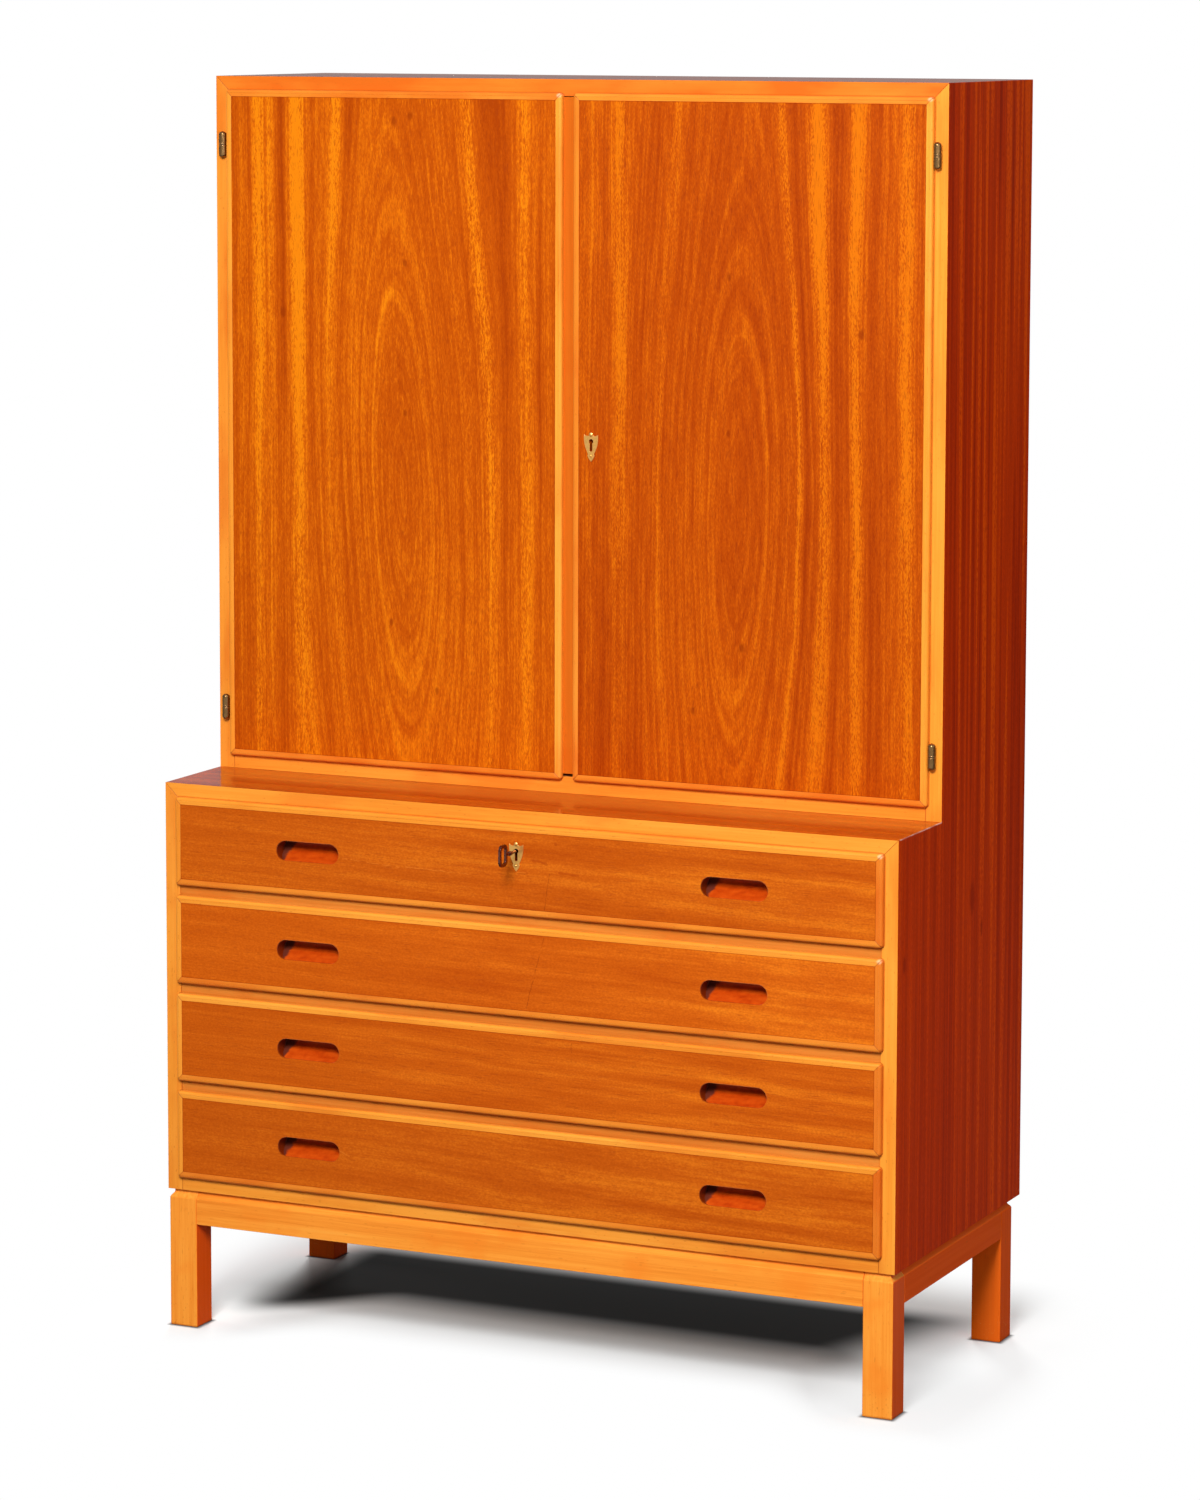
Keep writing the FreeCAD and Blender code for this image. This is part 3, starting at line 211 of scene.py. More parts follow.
class Graph:
    """A node tree that is being drawn up, for a material or the world."""

    def __init__(self, owner):
        owner.use_nodes = True
        self.tree = owner.node_tree
        self.tree.nodes.clear()

    def node(self, kind, settings=None, values=(), output=0):
        """Adds a node: its settings and ramp stops first, then the values or links of its sockets."""
        made = self.tree.nodes.new(kind)
        for name, value in (settings or {}).items():
            if name == "stops":
                self.set_stops(made.color_ramp, value)
            else:
                setattr(made, name, value)
        pairs = values.items() if isinstance(values, dict) else enumerate(values)
        for key, value in pairs:
            if isinstance(value, Wire):
                self.tree.links.new(value.socket, made.inputs[key])
            else:
                made.inputs[key].default_value = value
        return Wire(self, made.outputs[output]) if made.outputs else None

    @staticmethod
    def set_stops(ramp, stops):
        """Sets a ramp's stops from pairs of a place and a colour or a grey level."""
        while len(ramp.elements) < len(stops):
            ramp.elements.new(1)
        for element, (place, level) in zip(ramp.elements, stops):
            element.position = place
            element.color = (*level, 1) if isinstance(level, tuple) else (level, level, level, 1)

    def place(self):
        """Object coordinates, in metres, which here are the cabinet's own."""
        return self.node("ShaderNodeTexCoord", output="Object")

    def parts(self, vector):
        """The X, Y and Z of a vector."""
        first = self.node("ShaderNodeSeparateXYZ", values=[vector])
        return [Wire(self, socket) for socket in first.socket.node.outputs]

    def point(self, x, y, z):
        """A vector from its X, Y and Z."""
        return self.node("ShaderNodeCombineXYZ", values=[x, y, z])

    def vector(self, operation, *values):
        """Arithmetic on vectors that gives a vector."""
        return self.node("ShaderNodeVectorMath", {"operation": operation}, values)

    def measured(self, operation, *values):
        """Arithmetic on vectors that gives a number, such as a length."""
        return self.node("ShaderNodeVectorMath", {"operation": operation}, values, output="Value")

    def noise(self, vector, factors, offset=0.0, detail=2.0, roughness=0.5):
        """Noise with so many features a metre along each axis. The offset sets one piece apart from another."""
        scaled = self.vector("MULTIPLY_ADD", vector, factors, (offset, offset * 1.7, offset * 0.6))
        values = {"Vector": scaled, "Scale": 1.0, "Detail": detail, "Roughness": roughness}
        return self.node("ShaderNodeTexNoise", values=values)

    def swing(self, *noise):
        """The same noise, swinging about zero."""
        return self.noise(*noise) - 0.5

    def smooth(self, value, low, high, start=0.0, end=1.0):
        """A smooth step from start to end while the value goes from low to high."""
        settings = {"interpolation_type": "SMOOTHSTEP"}
        return self.node("ShaderNodeMapRange", settings, [value, low, high, start, end])

    def mix(self, factor, first, second):
        """Two colours mixed by a factor."""
        return self.node("ShaderNodeMix", {"data_type": "RGBA"}, {0: factor, 6: first, 7: second}, output=2)

    def ramp(self, value, stops):
        """A grey level or a colour looked up along a ramp."""
        return self.node("ShaderNodeValToRGB", {"stops": stops}, [value])

    def line_mark(self, place, start, end, width, wander=0.0):
        """A mask for a thin mark: the distance to the line between two points, compared with its width."""
        run = Vector(end) - Vector(start)
        if wander:
            values = {"Vector": place, "Scale": 90.0, "Detail": 3.0}
            strayed = self.node("ShaderNodeTexNoise", values=values, output="Color")
            place = self.vector("MULTIPLY_ADD", strayed, (wander,) * 3, place)
            start = [value + wander / 2 for value in start]
        rel = self.vector("SUBTRACT", place, start)
        along = self.measured("DOT_PRODUCT", rel, run) / run.length_squared
        share = self.node("ShaderNodeClamp", values=[along, 0.0, 1.0])
        nearest = self.node("ShaderNodeVectorMath", {"operation": "SCALE"}, {0: run, "Scale": share})
        far = self.measured("LENGTH", self.vector("SUBTRACT", rel, nearest))
        return self.smooth(far, width * 0.4, width, 1.0, 0.0)

    def spot(self, place, centre, radii):
        """A mask for a soft oval spot: the distance to its centre, each axis measured in its own radius."""
        shares = self.vector("DIVIDE", self.vector("SUBTRACT", place, centre), radii)
        return self.smooth(self.measured("LENGTH", shares), 0.35, 1.0, 1.0, 0.0)

    def beyond(self, x, z, low, high, radius=0.0):
        """How far a point lies outside a rectangle with rounded corners: the length of its overshoots."""
        over_x, over_z = (
            (abs(value - (first + last) / 2) - ((last - first) / 2 - radius)).math("MAXIMUM", 0.0)
            for value, first, last in zip((x, z), low, high)
        )
        return (over_x * over_x + over_z * over_z).math("SQRT") - radius

    def surface(self, colour, roughness, height, depth, metallic=0.0, shine=0.5):
        """The finished surface: a Principled shader, with relief from a height."""
        bump = self.node("ShaderNodeBump", values={"Strength": 1.0, "Distance": depth, "Height": height})
        values = {
            "Base Color": colour,
            "Roughness": roughness,
            "Metallic": metallic,
            "Specular IOR Level": shine,
            "Normal": bump,
        }
        shader = self.node("ShaderNodeBsdfPrincipled", values=values)
        self.node("ShaderNodeOutputMaterial", values={"Surface": shader})


class Paint:
    """The colour of a wood while it is built up: tones along a ramp, then stains and wear laid over them.

    Every tone is the wood's base colour with its red, green and blue multiplied by factors.
    """

    def __init__(self, graph, base, tone, stops):
        self.graph = graph
        self.base = tuple(base)
        self.colour = graph.ramp(tone, [(place, toned(base, *factors)[:3]) for place, *factors in stops])

    def lay(self, mask, *factors):
        """Lays a tone over what the mask covers."""
        self.lay_colour(mask, toned(self.base, *factors))

    def lay_colour(self, mask, colour):
        """Lays a colour over what the mask covers."""
        self.colour = self.graph.mix(mask, self.colour, colour)


def toned(colour, red, green, blue):
    """A colour with each part multiplied, as an RGBA colour for a shader."""
    return (min(1.0, colour[0] * red), min(1.0, colour[1] * green), min(1.0, colour[2] * blue), 1.0)


def material(name):
    """A new material and the graph that draws it."""
    made = bpy.data.materials.new(name)
    return made, Graph(made)


def drawn_out(along, run, fine):
    """Noise factors for grain: few features along one axis, many across it."""
    return tuple(run if axis == along else fine for axis in AXES)


# Finishes


FINISHES = {}


def once(name, make):
    """A finish that is made the first time it is asked for."""
    if name not in FINISHES:
        FINISHES[name] = make()
    return FINISHES[name]


def plain_wood(name, colour, along, gloss=0.4, contrast=1.0, shine=0.1, worn=False, painted_shade=0.0):
    """Solid straight-grained wood: slow tone, streaks and short flecks, all drawn out along the grain.

    Worn wood is scuffed and nicked near the floor. A painted shade makes the wood redder and darker by a share
    from 0 to 1, and fully so on faces that look sideways or down.
    """
    made, graph = material(f"{name}_{along}")
    place = graph.place()
    seed = 3.1 * AXES.index(along) + len(name)
    slow = graph.swing(place, drawn_out(along, 1.3, 11), seed)
    streak = graph.swing(place, drawn_out(along, 3.5, 240), seed + 2, 3.0)
    fine = graph.swing(place, drawn_out(along, 22, 900), seed + 5)
    fleck = graph.noise(place, drawn_out(along, 110, 620), seed + 9, 1.0)
    blotch = graph.noise(place, (13, 13, 13), seed + 4, 3.0)
    tone = 0.5 + (slow * 1.1 + streak * 0.75 + fine * 0.35) * contrast
    paint = Paint(graph, colour, tone, (
        (0.08, 0.78, 0.6, 0.4), (0.36, 0.93, 0.86, 0.75), (0.62, 1.03, 1.08, 1.15), (0.92, 1.08, 1.28, 1.7),
    ))
    flecked = graph.smooth(fleck, 0.66, 0.78)
    paint.lay(flecked * (0.3 * contrast), 0.72, 0.5, 0.35)
    paint.lay(graph.smooth(blotch, 0.52, 0.74) * (0.5 * contrast), 0.94, 0.72, 0.5)
    # Painted shade: faces that look sideways or down, and the whole piece by its share, turn redder and darker.
    if painted_shade:
        sideways, _, upwards = graph.parts(graph.node("ShaderNodeTexCoord", output="Normal"))
        shade_mask = graph.smooth(abs(sideways), 0.75, 0.97) + graph.smooth(upwards, -0.4, -0.9)
        shade_and_redness = shade_mask * (1 - painted_shade) + painted_shade
        paint.lay(shade_and_redness, 1.0, 0.36, 0.08)
        paint.lay(shade_and_redness * (streak + 0.4), 0.86, 0.24, 0.04)
    if worn:
        height = graph.parts(place)[2]
        specks = graph.smooth(graph.noise(place, (420, 420, 260), seed + 11), 0.64, 0.72)
        scuffed = (1.1, 1.2, 3.0) if painted_shade > 0.5 else (0.6, 0.34, 0.3)
        paint.lay(specks * graph.smooth(height, 0.07, 0.0) * 0.6, *scuffed)
        foot = graph.smooth(height + (blotch - 0.5) * 0.006, 0.004, 0.0)
        paint.lay(foot * 0.6, 0.35, 0.15, 0.1)
        nicked = graph.smooth(graph.noise(place, drawn_out(along, 60, 300), seed + 13, 1.0), 0.7, 0.78)
        paint.lay(nicked * 0.35, 0.6, 0.4, 0.3)
    rough = gloss + streak * 0.16 + flecked * 0.1
    graph.surface(paint.colour, rough, (streak + fine) * 0.5 - flecked * 0.4, 0.12 * MM, shine=shine)
    return made


def grained(name, colour, along, **settings):
    """Plain wood with its grain along an axis, made once for each axis."""
    return once(f"{name}_{along}", lambda: plain_wood(name, colour, along, **settings))


# The tone of dark polish that gathers in a mitre, which also lays the painted shadow round the fronts,
# and the near and far edge of the mitre's line and of the shadow's line from their joint.
JOINT_AND_SHADE_TONE = (0.5, 0.24, 0.12)
MITRE_LINE = (0.4 * MM, 1.1 * MM)
RIM_SHADOW_LINE = (0.4 * MM, 1.2 * MM)
# Radii of the pale spot at a front's upper outer corner: partly wear, partly a painted highlight.
WORN_AND_HIGHLIT_CORNER = (4.5 * MM, 20 * MM, 4 * MM)


def frame_wood(name, colour, low, high, joint=None, side_shade_and_redness=(0, 0, 0, 0), worn_and_highlit_corners=(), front=None):
    """Solid edging mitred round a frame, with one grain along each strip and a fine dark line at each mitre.

    A point's strip is the side of the frame that it is nearest to. Where joint is given, the frame has mitres
    at its top only, and below them the uprights run down at that width. The left, right, lower and upper strip
    each get their share of a darker, redder tone, which stands partly for the wood's own patches and partly
    for painted shade. Where front is given, a painted shadow line runs round the fronts that stand proud of the
    frame. It holds the box of one front, the same on both sides of the middle, and the pitch and the top
    of its row.
    """
    made, graph = material(name)
    place = graph.place()
    x, y, z = graph.parts(place)
    middle, half = (low + high) / 2, (high - low) / 2
    from_side = half.x - abs(x - middle.x)
    from_end = (high.z - z).math("MINIMUM", joint) if joint else half.z - abs(z - middle.z)
    past = from_end - from_side
    upright = past.math("GREATER_THAN", 0.0)
    level = graph.point(x + (z - x) * upright, y, z + (x - z) * upright)
    seed = 10 * (low.z + low.x)
    slow = graph.swing(level, (2.2, 12, 12), seed)
    streak = graph.swing(level, (4, 260, 260), seed + 2, 3.0)
    fine = graph.swing(level, (26, 700, 700), seed + 5, 1.0)
    blotch = graph.noise(level, (7, 20, 20), seed + 8, 3.0)
    paint = Paint(graph, colour, 0.5 + slow + streak * 0.7 + fine * 0.35, (
        (0.1, 0.84, 0.66, 0.5), (0.4, 0.97, 0.93, 0.85), (0.62, 1.02, 1.06, 1.15), (0.92, 1.05, 1.2, 1.6),
    ))
    left, right, lower, upper = side_shade_and_redness
    sides = x.math("GREATER_THAN", middle.x) * (right - left) + left
    ends = z.math("GREATER_THAN", middle.z) * (upper - lower) + lower
    whole = ends + (sides - ends) * upright
    # The wood's own redder patches, and a painted shade on each strip by its share.
    shade_and_redness = graph.smooth(blotch, 0.48, 0.7) * 0.35 + whole * graph.smooth(blotch, 0.2, 0.6, 0.7, 1.2)
    paint.lay(shade_and_redness, 0.78, 0.42, 0.26)
    speck = graph.smooth(graph.noise(level, (150, 420, 420), seed + 11, 1.0), 0.68, 0.76)
    paint.lay(speck * 0.4, 0.6, 0.4, 0.25)
    # Pale spots at the corners: partly wear, partly a painted highlight.
    for corner in worn_and_highlit_corners:
        paint.lay_colour(graph.spot(place, corner, WORN_AND_HIGHLIT_CORNER) * 0.5, (*display(255, 214, 170), 1.0))
    mitre = graph.smooth(abs(past), *MITRE_LINE, 1.0, 0.0)
    paint.lay(mitre * 0.55, *JOINT_AND_SHADE_TONE)
    # Painted shadow: a dark line round each front where it stands proud of the frame.
    if front:
        first, last, pitch, top = front
        row = (z.math("MINIMUM", top + 4 * MM) - first.z).math("MODULO", pitch) + first.z
        outside = graph.beyond(abs(x), row, (first.x, first.z), (last.x, last.z), sizes().lip_corner)
        rim = graph.smooth(abs(outside - 0.3 * MM), *RIM_SHADOW_LINE, 1.0, 0.0)
        paint.lay(rim * 0.6, *JOINT_AND_SHADE_TONE)
    height = streak * 0.5 + fine * 0.4 - mitre * 1.5
    graph.surface(paint.colour, 0.36 + streak * 0.14, height, 0.1 * MM, shine=0.2)
    return made


def band_stops(bands, reach):
    """Ramp stops for bands across a veneer: each has its place, half width and level, where 0.5 is plain."""
    stops = []
    for centre, half, level in sorted(bands):
        for across, height in ((-half, 0.5), (0, level), (half, 0.5)):
            stop = (centre + across) / reach
            if stops and stop <= stops[-1][0]:
                stop = stops[-1][0] + 0.002
            stops.append((stop, height))
    return stops


def joint_line(graph, x, z, panel):
    """A mask for the fine dark joint round a veneered panel."""
    low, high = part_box(panel)
    outside = graph.beyond(x, z, (low.x, low.z), (high.x, high.z), 4 * MM)
    return graph.smooth(outside, -1.3 * MM, -0.3 * MM, 0.0, 0.5)


# Bands of a door's veneer are kept as place, half width and level along a ramp as long as BAND_REACH,
# and its ovals as place and level along one as long as OVAL_REACH.
BAND_REACH = 0.27
OVAL_REACH = 0.15
SLIMNESS = 0.165


def door_veneer(name, colour, panel, middle, lean, bands, rings, knots, seed, keyhole=None):
    """Flat-cut mahogany: long closed ovals in the middle, and ribbons at the sides that bow round them.

    The ring number is the root of dx squared plus the arch squared. dx is measured from a centre line that
    leans, and the arch is the height from the middle of the ovals times their slimness, held back far from
    the middle. Away from the ovals the lean and the arch die out.
    """
    made, graph = material(name)
    centre_x, centre_z = middle
    place = graph.place()
    x, y, z = graph.parts(place)
    sway = graph.swing(place, (4.5, 0, 1.6), seed)
    ragged = graph.swing(place, (70, 0, 9), seed + 1)
    rise = z - centre_z
    closed = graph.smooth(abs(x - centre_x), 0.105, 0.17, 1.0, 0.0)
    across = x - centre_x + rise * lean * closed + sway * 0.02 + ragged * 0.004
    arch = (abs(rise) * SLIMNESS).math("SMOOTH_MIN", abs(rise) * 0.05 + 0.045, 0.02)
    ring = (across * across + arch * arch * closed).math("SQRT")
    signed = ring * across.math("SIGN")
    sides = []
    for side in (-1, 1):
        own = [(abs(centre), half, level) for centre, half, level in bands if centre * side > 0]
        sides.append(graph.ramp(ring / BAND_REACH, band_stops(own, BAND_REACH)))
    at_left, at_right = sides
    ribbon = at_left + (at_right - at_left) * across.math("GREATER_THAN", 0.0) - 0.5
    ovals = graph.ramp(ring / OVAL_REACH, [(far / OVAL_REACH, level) for far, level in rings]) - 0.5
    patch = graph.smooth(graph.noise(place, (26, 0, 2.6), seed + 2), 0.3, 0.7, 0.45, 1.25)
    chatter = graph.swing(place, (820, 0, 210), seed + 3, 1.0)
    mottle = graph.swing(place, (190, 0, 24), seed + 4)
    strand = graph.swing(graph.point(signed, 0.0, z), (330, 0, 2.2), seed + 5, 3.0)
    slow = graph.swing(place, (5, 0, 1.4), seed + 6)
    ribbons = ribbon * patch * graph.smooth(z, 0.8, 1.5, 0.55, 1.2)
    tone = 0.5 + ribbons * 1.6 + ovals * 0.9 + strand * 0.95 + slow * 0.6 + mottle * 0.55
    tone = tone + chatter * (0.8 + graph.smooth(ribbons, 0.0, 0.3) * 1.2)
    paint = Paint(graph, colour, tone, (
        (0.0, 0.7, 0.52, 0.35), (0.3, 0.88, 0.78, 0.6), (0.5, 1.0, 1.0, 1.0), (0.74, 1.25, 1.55, 1.6),
        (1.0, 1.5, 2.4, 2.6),
    ))
    pore = graph.smooth(graph.noise(place, (950, 0, 70), seed + 8, 1.0), 0.6, 0.7)
    paint.lay(pore * 0.5, 0.6, 0.42, 0.25)
    for knot_x, knot_z, radius in knots:
        mask = graph.spot(place, (knot_x, 0.0, knot_z), (radius, 1.0, radius * 1.7))
        paint.lay(mask * 0.6, 0.5, 0.33, 0.3)
    paint.lay(joint_line(graph, x, z, panel), 0.55, 0.3, 0.2)
    if keyhole:
        # Painted shade inside the keyhole.
        shade_mask = graph.spot(place, tuple(keyhole), (0.02, 1.0, 0.05))
        shade_mask = shade_mask * graph.smooth(y, keyhole.y + 0.2 * MM, keyhole.y + 0.8 * MM)
        paint.lay(shade_mask, 0.06, 0.04, 0.1)
    rough = 0.43 + pore * 0.15 + chatter * 0.08
    graph.surface(paint.colour, rough, strand * 0.5 - pore * 0.6, 0.15 * MM, shine=0.06)
    return made


# For each kind of mark: how much of it covers the veneer, its tone and how far it stands up.
MARK_LOOKS = {
    "crack": (0.5, (0.42, 0.22, 0.15), -1.0),
    "stain": (0.5, (0.66, 0.4, 0.3), 0.0),
    "scratch": (0.6, (1.35, 1.9, 4.0), 0.8),
}


def drawer_veneer(name, colour, panel, cups, seed, marks=()):
    """Ribbon mahogany laid level: broken streaks, plainer towards the left, and fine pores.

    Round the finger pulls the rim is darker at its left end, and a painted highlight runs along its upper part.
    """
    made, graph = material(name)
    place = graph.place()
    x, y, z = graph.parts(place)
    drift = graph.swing(place, (2.4, 0, 9), seed)
    waved = graph.point(x, 0.0, z + x * 0.03 + drift * 0.02)
    strength = graph.smooth(x, -0.42, 0.1, 0.35, 1.0)
    broad = graph.swing(waved, (3.2, 0, 62), seed + 1, 1.0, 0.4)
    broken = graph.swing(waved, (16, 0, 150), seed + 2)
    strand = graph.swing(waved, (6, 0, 420), seed + 3, 3.0)
    chatter = graph.swing(place, (330, 0, 520), seed + 4, 1.0)
    slow = graph.swing(place, (1.6, 0, 7), seed + 5)
    tone = 0.48 + x * 0.14 + slow * 0.4 + strand * 0.42 + chatter * 0.6
    tone = tone + (broad * 1.1 + broken * 0.5) * strength
    paint = Paint(graph, colour, tone, (
        (0.05, 0.78, 0.6, 0.45), (0.35, 0.92, 0.86, 0.75), (0.55, 1.03, 1.05, 1.1), (0.95, 1.35, 1.85, 2.2),
    ))
    pore = graph.smooth(graph.noise(place, (55, 0, 900), seed + 6, 1.0), 0.62, 0.72)
    paint.lay(pore * 0.4, 0.62, 0.45, 0.3)
    height = strand * 0.5 - pore * 0.6
    flat = graph.vector("MULTIPLY", place, (1.0, 0.0, 1.0))
    for kind, (start_x, start_z), (end_x, end_z), width, wander in marks:
        cover, factors, proud = MARK_LOOKS[kind]
        mask = graph.line_mark(flat, (start_x, 0.0, start_z), (end_x, 0.0, end_z), width, wander)
        paint.lay(mask * cover, *factors)
        height = height + mask * proud
    paint.lay(joint_line(graph, x, z, panel), 0.55, 0.3, 0.2)
    middle = (cups[0].z + cups[1].z) / 2
    high, wide = sizes().pull_height / 2, sizes().pull_width / 2
    along = x - x.math("SIGN") * sizes().pull_place
    rim = graph.beyond(along, z, (-wide, middle - high), (wide, middle + high), high)
    near_pull_rim = graph.smooth(rim, 1.1 * MM, 0.3 * MM)
    upper = graph.smooth(z, middle - high * 0.5, middle + high * 0.3)
    ending = graph.smooth(along, -wide * 0.75, -wide * 0.95)
    # Round each pull: the rim is darker at its left end, and a painted highlight runs along its upper part.
    paint.lay(near_pull_rim * ending * 0.7, 0.25, 0.1, 0.3)
    paint.lay(near_pull_rim * upper * (1 - ending * 0.5) * 0.6, 0.8, 1.1, 9.0)
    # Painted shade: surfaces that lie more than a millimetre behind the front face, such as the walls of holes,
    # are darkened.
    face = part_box(panel)[0].y
    paint.lay(graph.smooth(y, face + 0.6 * MM, face + 1.6 * MM) * 0.8, 0.3, 0.13, 0.2)
    rough = 0.42 + pore * 0.15 + chatter * 0.08
    graph.surface(paint.colour, rough, height, 0.15 * MM, shine=0.06)
    return made


def cup_wood(name, colour, cups, seed):
    """Routed wood in the finger pulls, with a painted shade that darkens its upper part and its left end."""
    made, graph = material(name)
    low, high = cups
    place = graph.place()
    x, _, z = graph.parts(place)
    along = x - x.math("SIGN") * sizes().pull_place
    up = (z - (high.z + low.z) / 2) / ((high.z - low.z) / 2)
    streak = graph.swing(place, (30, 0, 260), seed, 3.0)
    blotch = graph.swing(place, (110, 110, 110), seed + 3, 3.0)
    paint = Paint(graph, colour, 0.5 + streak * 0.9 + blotch * 1.1, (
        (0.1, 0.72, 0.5, 0.4), (0.45, 0.95, 0.9, 0.8), (0.8, 1.12, 1.3, 1.5),
    ))
    # Painted shade over the upper part of the pull.
    paint.lay(graph.smooth(up + blotch * 0.4, 0.25, 0.7) * 0.6, 0.4, 0.2, 0.15)
    # Painted shade, a dark purple, over the left end of the pull.
    left_end_shade = graph.smooth(along - up * 0.007 + blotch * 0.01, -0.031, -0.036)
    paint.lay(left_end_shade * 0.9, 0.14, 0.32, 6.0)
    graph.surface(paint.colour, 0.36 + streak * 0.15, streak + blotch * 0.5, 0.2 * MM, shine=0.25)
    return made


# Knots in the veneer of the case: the place of each, and its radii.
CASE_KNOTS = (
    ((0.525, 0.064, 0.625), (0.1, 0.012, 0.03)),
    ((0.525, 0.1, 0.58), (0.1, 0.006, 0.016)),
    ((0.525, -0.177, 0.58), (0.1, 0.007, 0.016)),
    ((-0.525, 0.02, 1.2), (0.1, 0.01, 0.03)),
)


def case_veneer(name, colour, along, gloss, shine):
    """Quarter-cut mahogany: straight ribbons from front to back, which fade in and out along the grain."""
    made, graph = material(name)
    place = graph.place()
    x, y, z = graph.parts(place)
    slow = graph.swing(place, drawn_out(along, 1.1, 6), 4.0)
    level = graph.point(y + slow * 0.012, x if along == "X" else z, 0.0)
    ribbon = graph.noise(level, (80, 0.9, 0), 7.0, 1.0, 0.4)
    broad = graph.swing(level, (13, 0.8, 0), 15.0, 1.0, 0.4)
    line = graph.swing(level, (210, 1.6, 0), 9.0)
    dotted = graph.swing(level, (420, 160, 0), 17.0, 1.0)
    strand = graph.swing(level, (560, 5.0, 0), 11.0, 3.0)
    strength = graph.smooth(y, -0.1, 0.08, 0.45, 1.0)
    if along == "Z":
        strength = strength * graph.smooth(z, 0.55, 1.1, 0.5, 1.0)
    bright = graph.smooth(ribbon, 0.52, 0.64) * strength
    dark = graph.smooth(ribbon, 0.47, 0.36) * strength
    tone = 0.46 + bright * 0.42 - dark * 0.3 + line * 0.65 + strand * 0.42 + slow * 0.3
    tone = tone + broad * 0.35 + dotted * (0.3 + bright * 0.9)
    paint = Paint(graph, colour, tone, (
        (0.08, 0.6, 0.4, 0.3), (0.36, 0.86, 0.76, 0.7), (0.56, 1.03, 1.06, 1.1), (0.9, 1.3, 2.0, 2.6),
    ))
    pore = graph.smooth(graph.noise(place, drawn_out(along, 45, 800), 13.0, 1.0), 0.62, 0.72)
    paint.lay(pore * 0.4, 0.5, 0.35, 0.3)
    for centre, radii in CASE_KNOTS:
        paint.lay(graph.spot(place, centre, radii) * 0.6, 0.5, 0.3, 0.25)
    # A pale line along the right edge of the step's top: partly wear, partly a painted highlight.
    step_low, step_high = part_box("step_top")
    start, end = ((CAD_BOX[1].x, depth, step_high.z) for depth in (step_low.y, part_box("upper_edging")[0].y))
    worn = graph.line_mark(place, start, end, 1.6 * MM) * graph.smooth(ribbon, 0.4, 0.6, 0.3, 0.9)
    paint.lay_colour(worn, (*display(236, 190, 180), 1.0))
    rough = gloss + pore * 0.06 + line * 0.06
    graph.surface(paint.colour, rough, strand * 0.5 - pore * 0.6, 0.12 * MM, shine=shine)
    return made


def metal(name, colour, gloss, tarnish, patch_size=260.0):
    """Handled metal: tarnish that gathers in soft patches, and fine scratches that change only the gloss."""
    made, graph = material(name)
    place = graph.place()
    patches = graph.noise(place, (patch_size,) * 3, 2.0, 4.0)
    scratch = graph.swing(place, drawn_out("Z", 300, 4200), 5.0)
    dulled = graph.smooth(patches, 0.42, 0.68)
    painted = graph.mix(dulled * tarnish, toned(colour, 1.08, 1.06, 1.0), toned(colour, 0.55, 0.5, 0.42))
    rough = gloss + dulled * 0.14 + scratch * 0.18
    graph.surface(painted, rough, scratch + patches * 0.5, 0.03 * MM, metallic=1.0)
    return made


def inside_wood(corners):
    """Pale wood of the boards inside, with its grain along each board."""
    return grained("inside_wood", colours().inside, longest(corners), gloss=0.55, contrast=0.9, shine=0.25)


def steel_finish():
    return once("steel", lambda: metal("plain_steel", colours().steel, 0.32, 0.5))


def side_finish():
    return once("side", lambda: case_veneer("side_veneer", colours().sides, "Z", 0.4, 0.02))


def top_finish():
    return once("top", lambda: case_veneer("top_veneer", colours().tops, "X", 0.12, 0.4))


# Ways to make a mesh


def node_solids(name):
    """The closed solids of a CAD node: triangles in a row, until every edge has met its opposite."""
    mesh = frame["nodes"][name].data
    places = np.empty(len(mesh.vertices) * 3, np.float32)
    mesh.vertices.foreach_get("co", places)
    cells = np.round(places.reshape(-1, 3) / SAME_PLACE).astype(np.int64)
    cells, index = np.unique(cells, axis=0, return_inverse=True)
    corners = cells * SAME_PLACE
    mesh.calc_loop_triangles()
    triangles = np.empty(len(mesh.loop_triangles) * 3, np.int32)
    mesh.loop_triangles.foreach_get("vertices", triangles)
    triangles = index.reshape(-1)[triangles].reshape(-1, 3)
    triangles = triangles[(triangles != np.roll(triangles, 1, axis=1)).all(axis=1)]
    solids = []
    unmatched = set()
    start = 0
    for number, (a, b, c) in enumerate(triangles.tolist(), start=1):
        for edge in ((a, b), (b, c), (c, a)):
            if edge[::-1] in unmatched:
                unmatched.remove(edge[::-1])
            else:
                unmatched.add(edge)
        if not unmatched:
            used, local = np.unique(triangles[start:number], return_inverse=True)
            solids.append((corners[used], local.reshape(-1, 3)))
            start = number
    if start != len(triangles):
        raise RuntimeError(f"{name} has a solid that isn't closed")
    return solids


def longest(corners):
    """The axis along which a solid is longest, which is where its grain runs."""
    return AXES[int(np.argmax(corners.max(0) - corners.min(0)))]


def new_piece(name, mesh, body, slot, stands_for=()):
    """Puts a finished mesh in the scene as a piece that rides on a body. Its finish is the mesh's own material;
    slot is not used.
    """
    piece = bpy.data.objects.new(name, mesh)
    bpy.context.scene.collection.objects.link(piece)
    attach(piece, body)
    if stands_for:
        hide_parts(*stands_for)
    return piece


def mesh_from(name, corners, faces, materials, indices=None):
    """A smooth-shaded mesh from arrays of corners and faces, with its materials and each face's material."""
    mesh = bpy.data.meshes.new(name)
    mesh.from_pydata(np.asarray(corners, float).tolist(), [], [list(face) for face in faces])
    for finish in materials:
        mesh.materials.append(finish)
    if indices is not None:
        mesh.polygons.foreach_set("material_index", np.asarray(indices, np.int32))
    mesh.polygons.foreach_set("use_smooth", np.ones(len(mesh.polygons), bool))
    mesh.update()
    return mesh


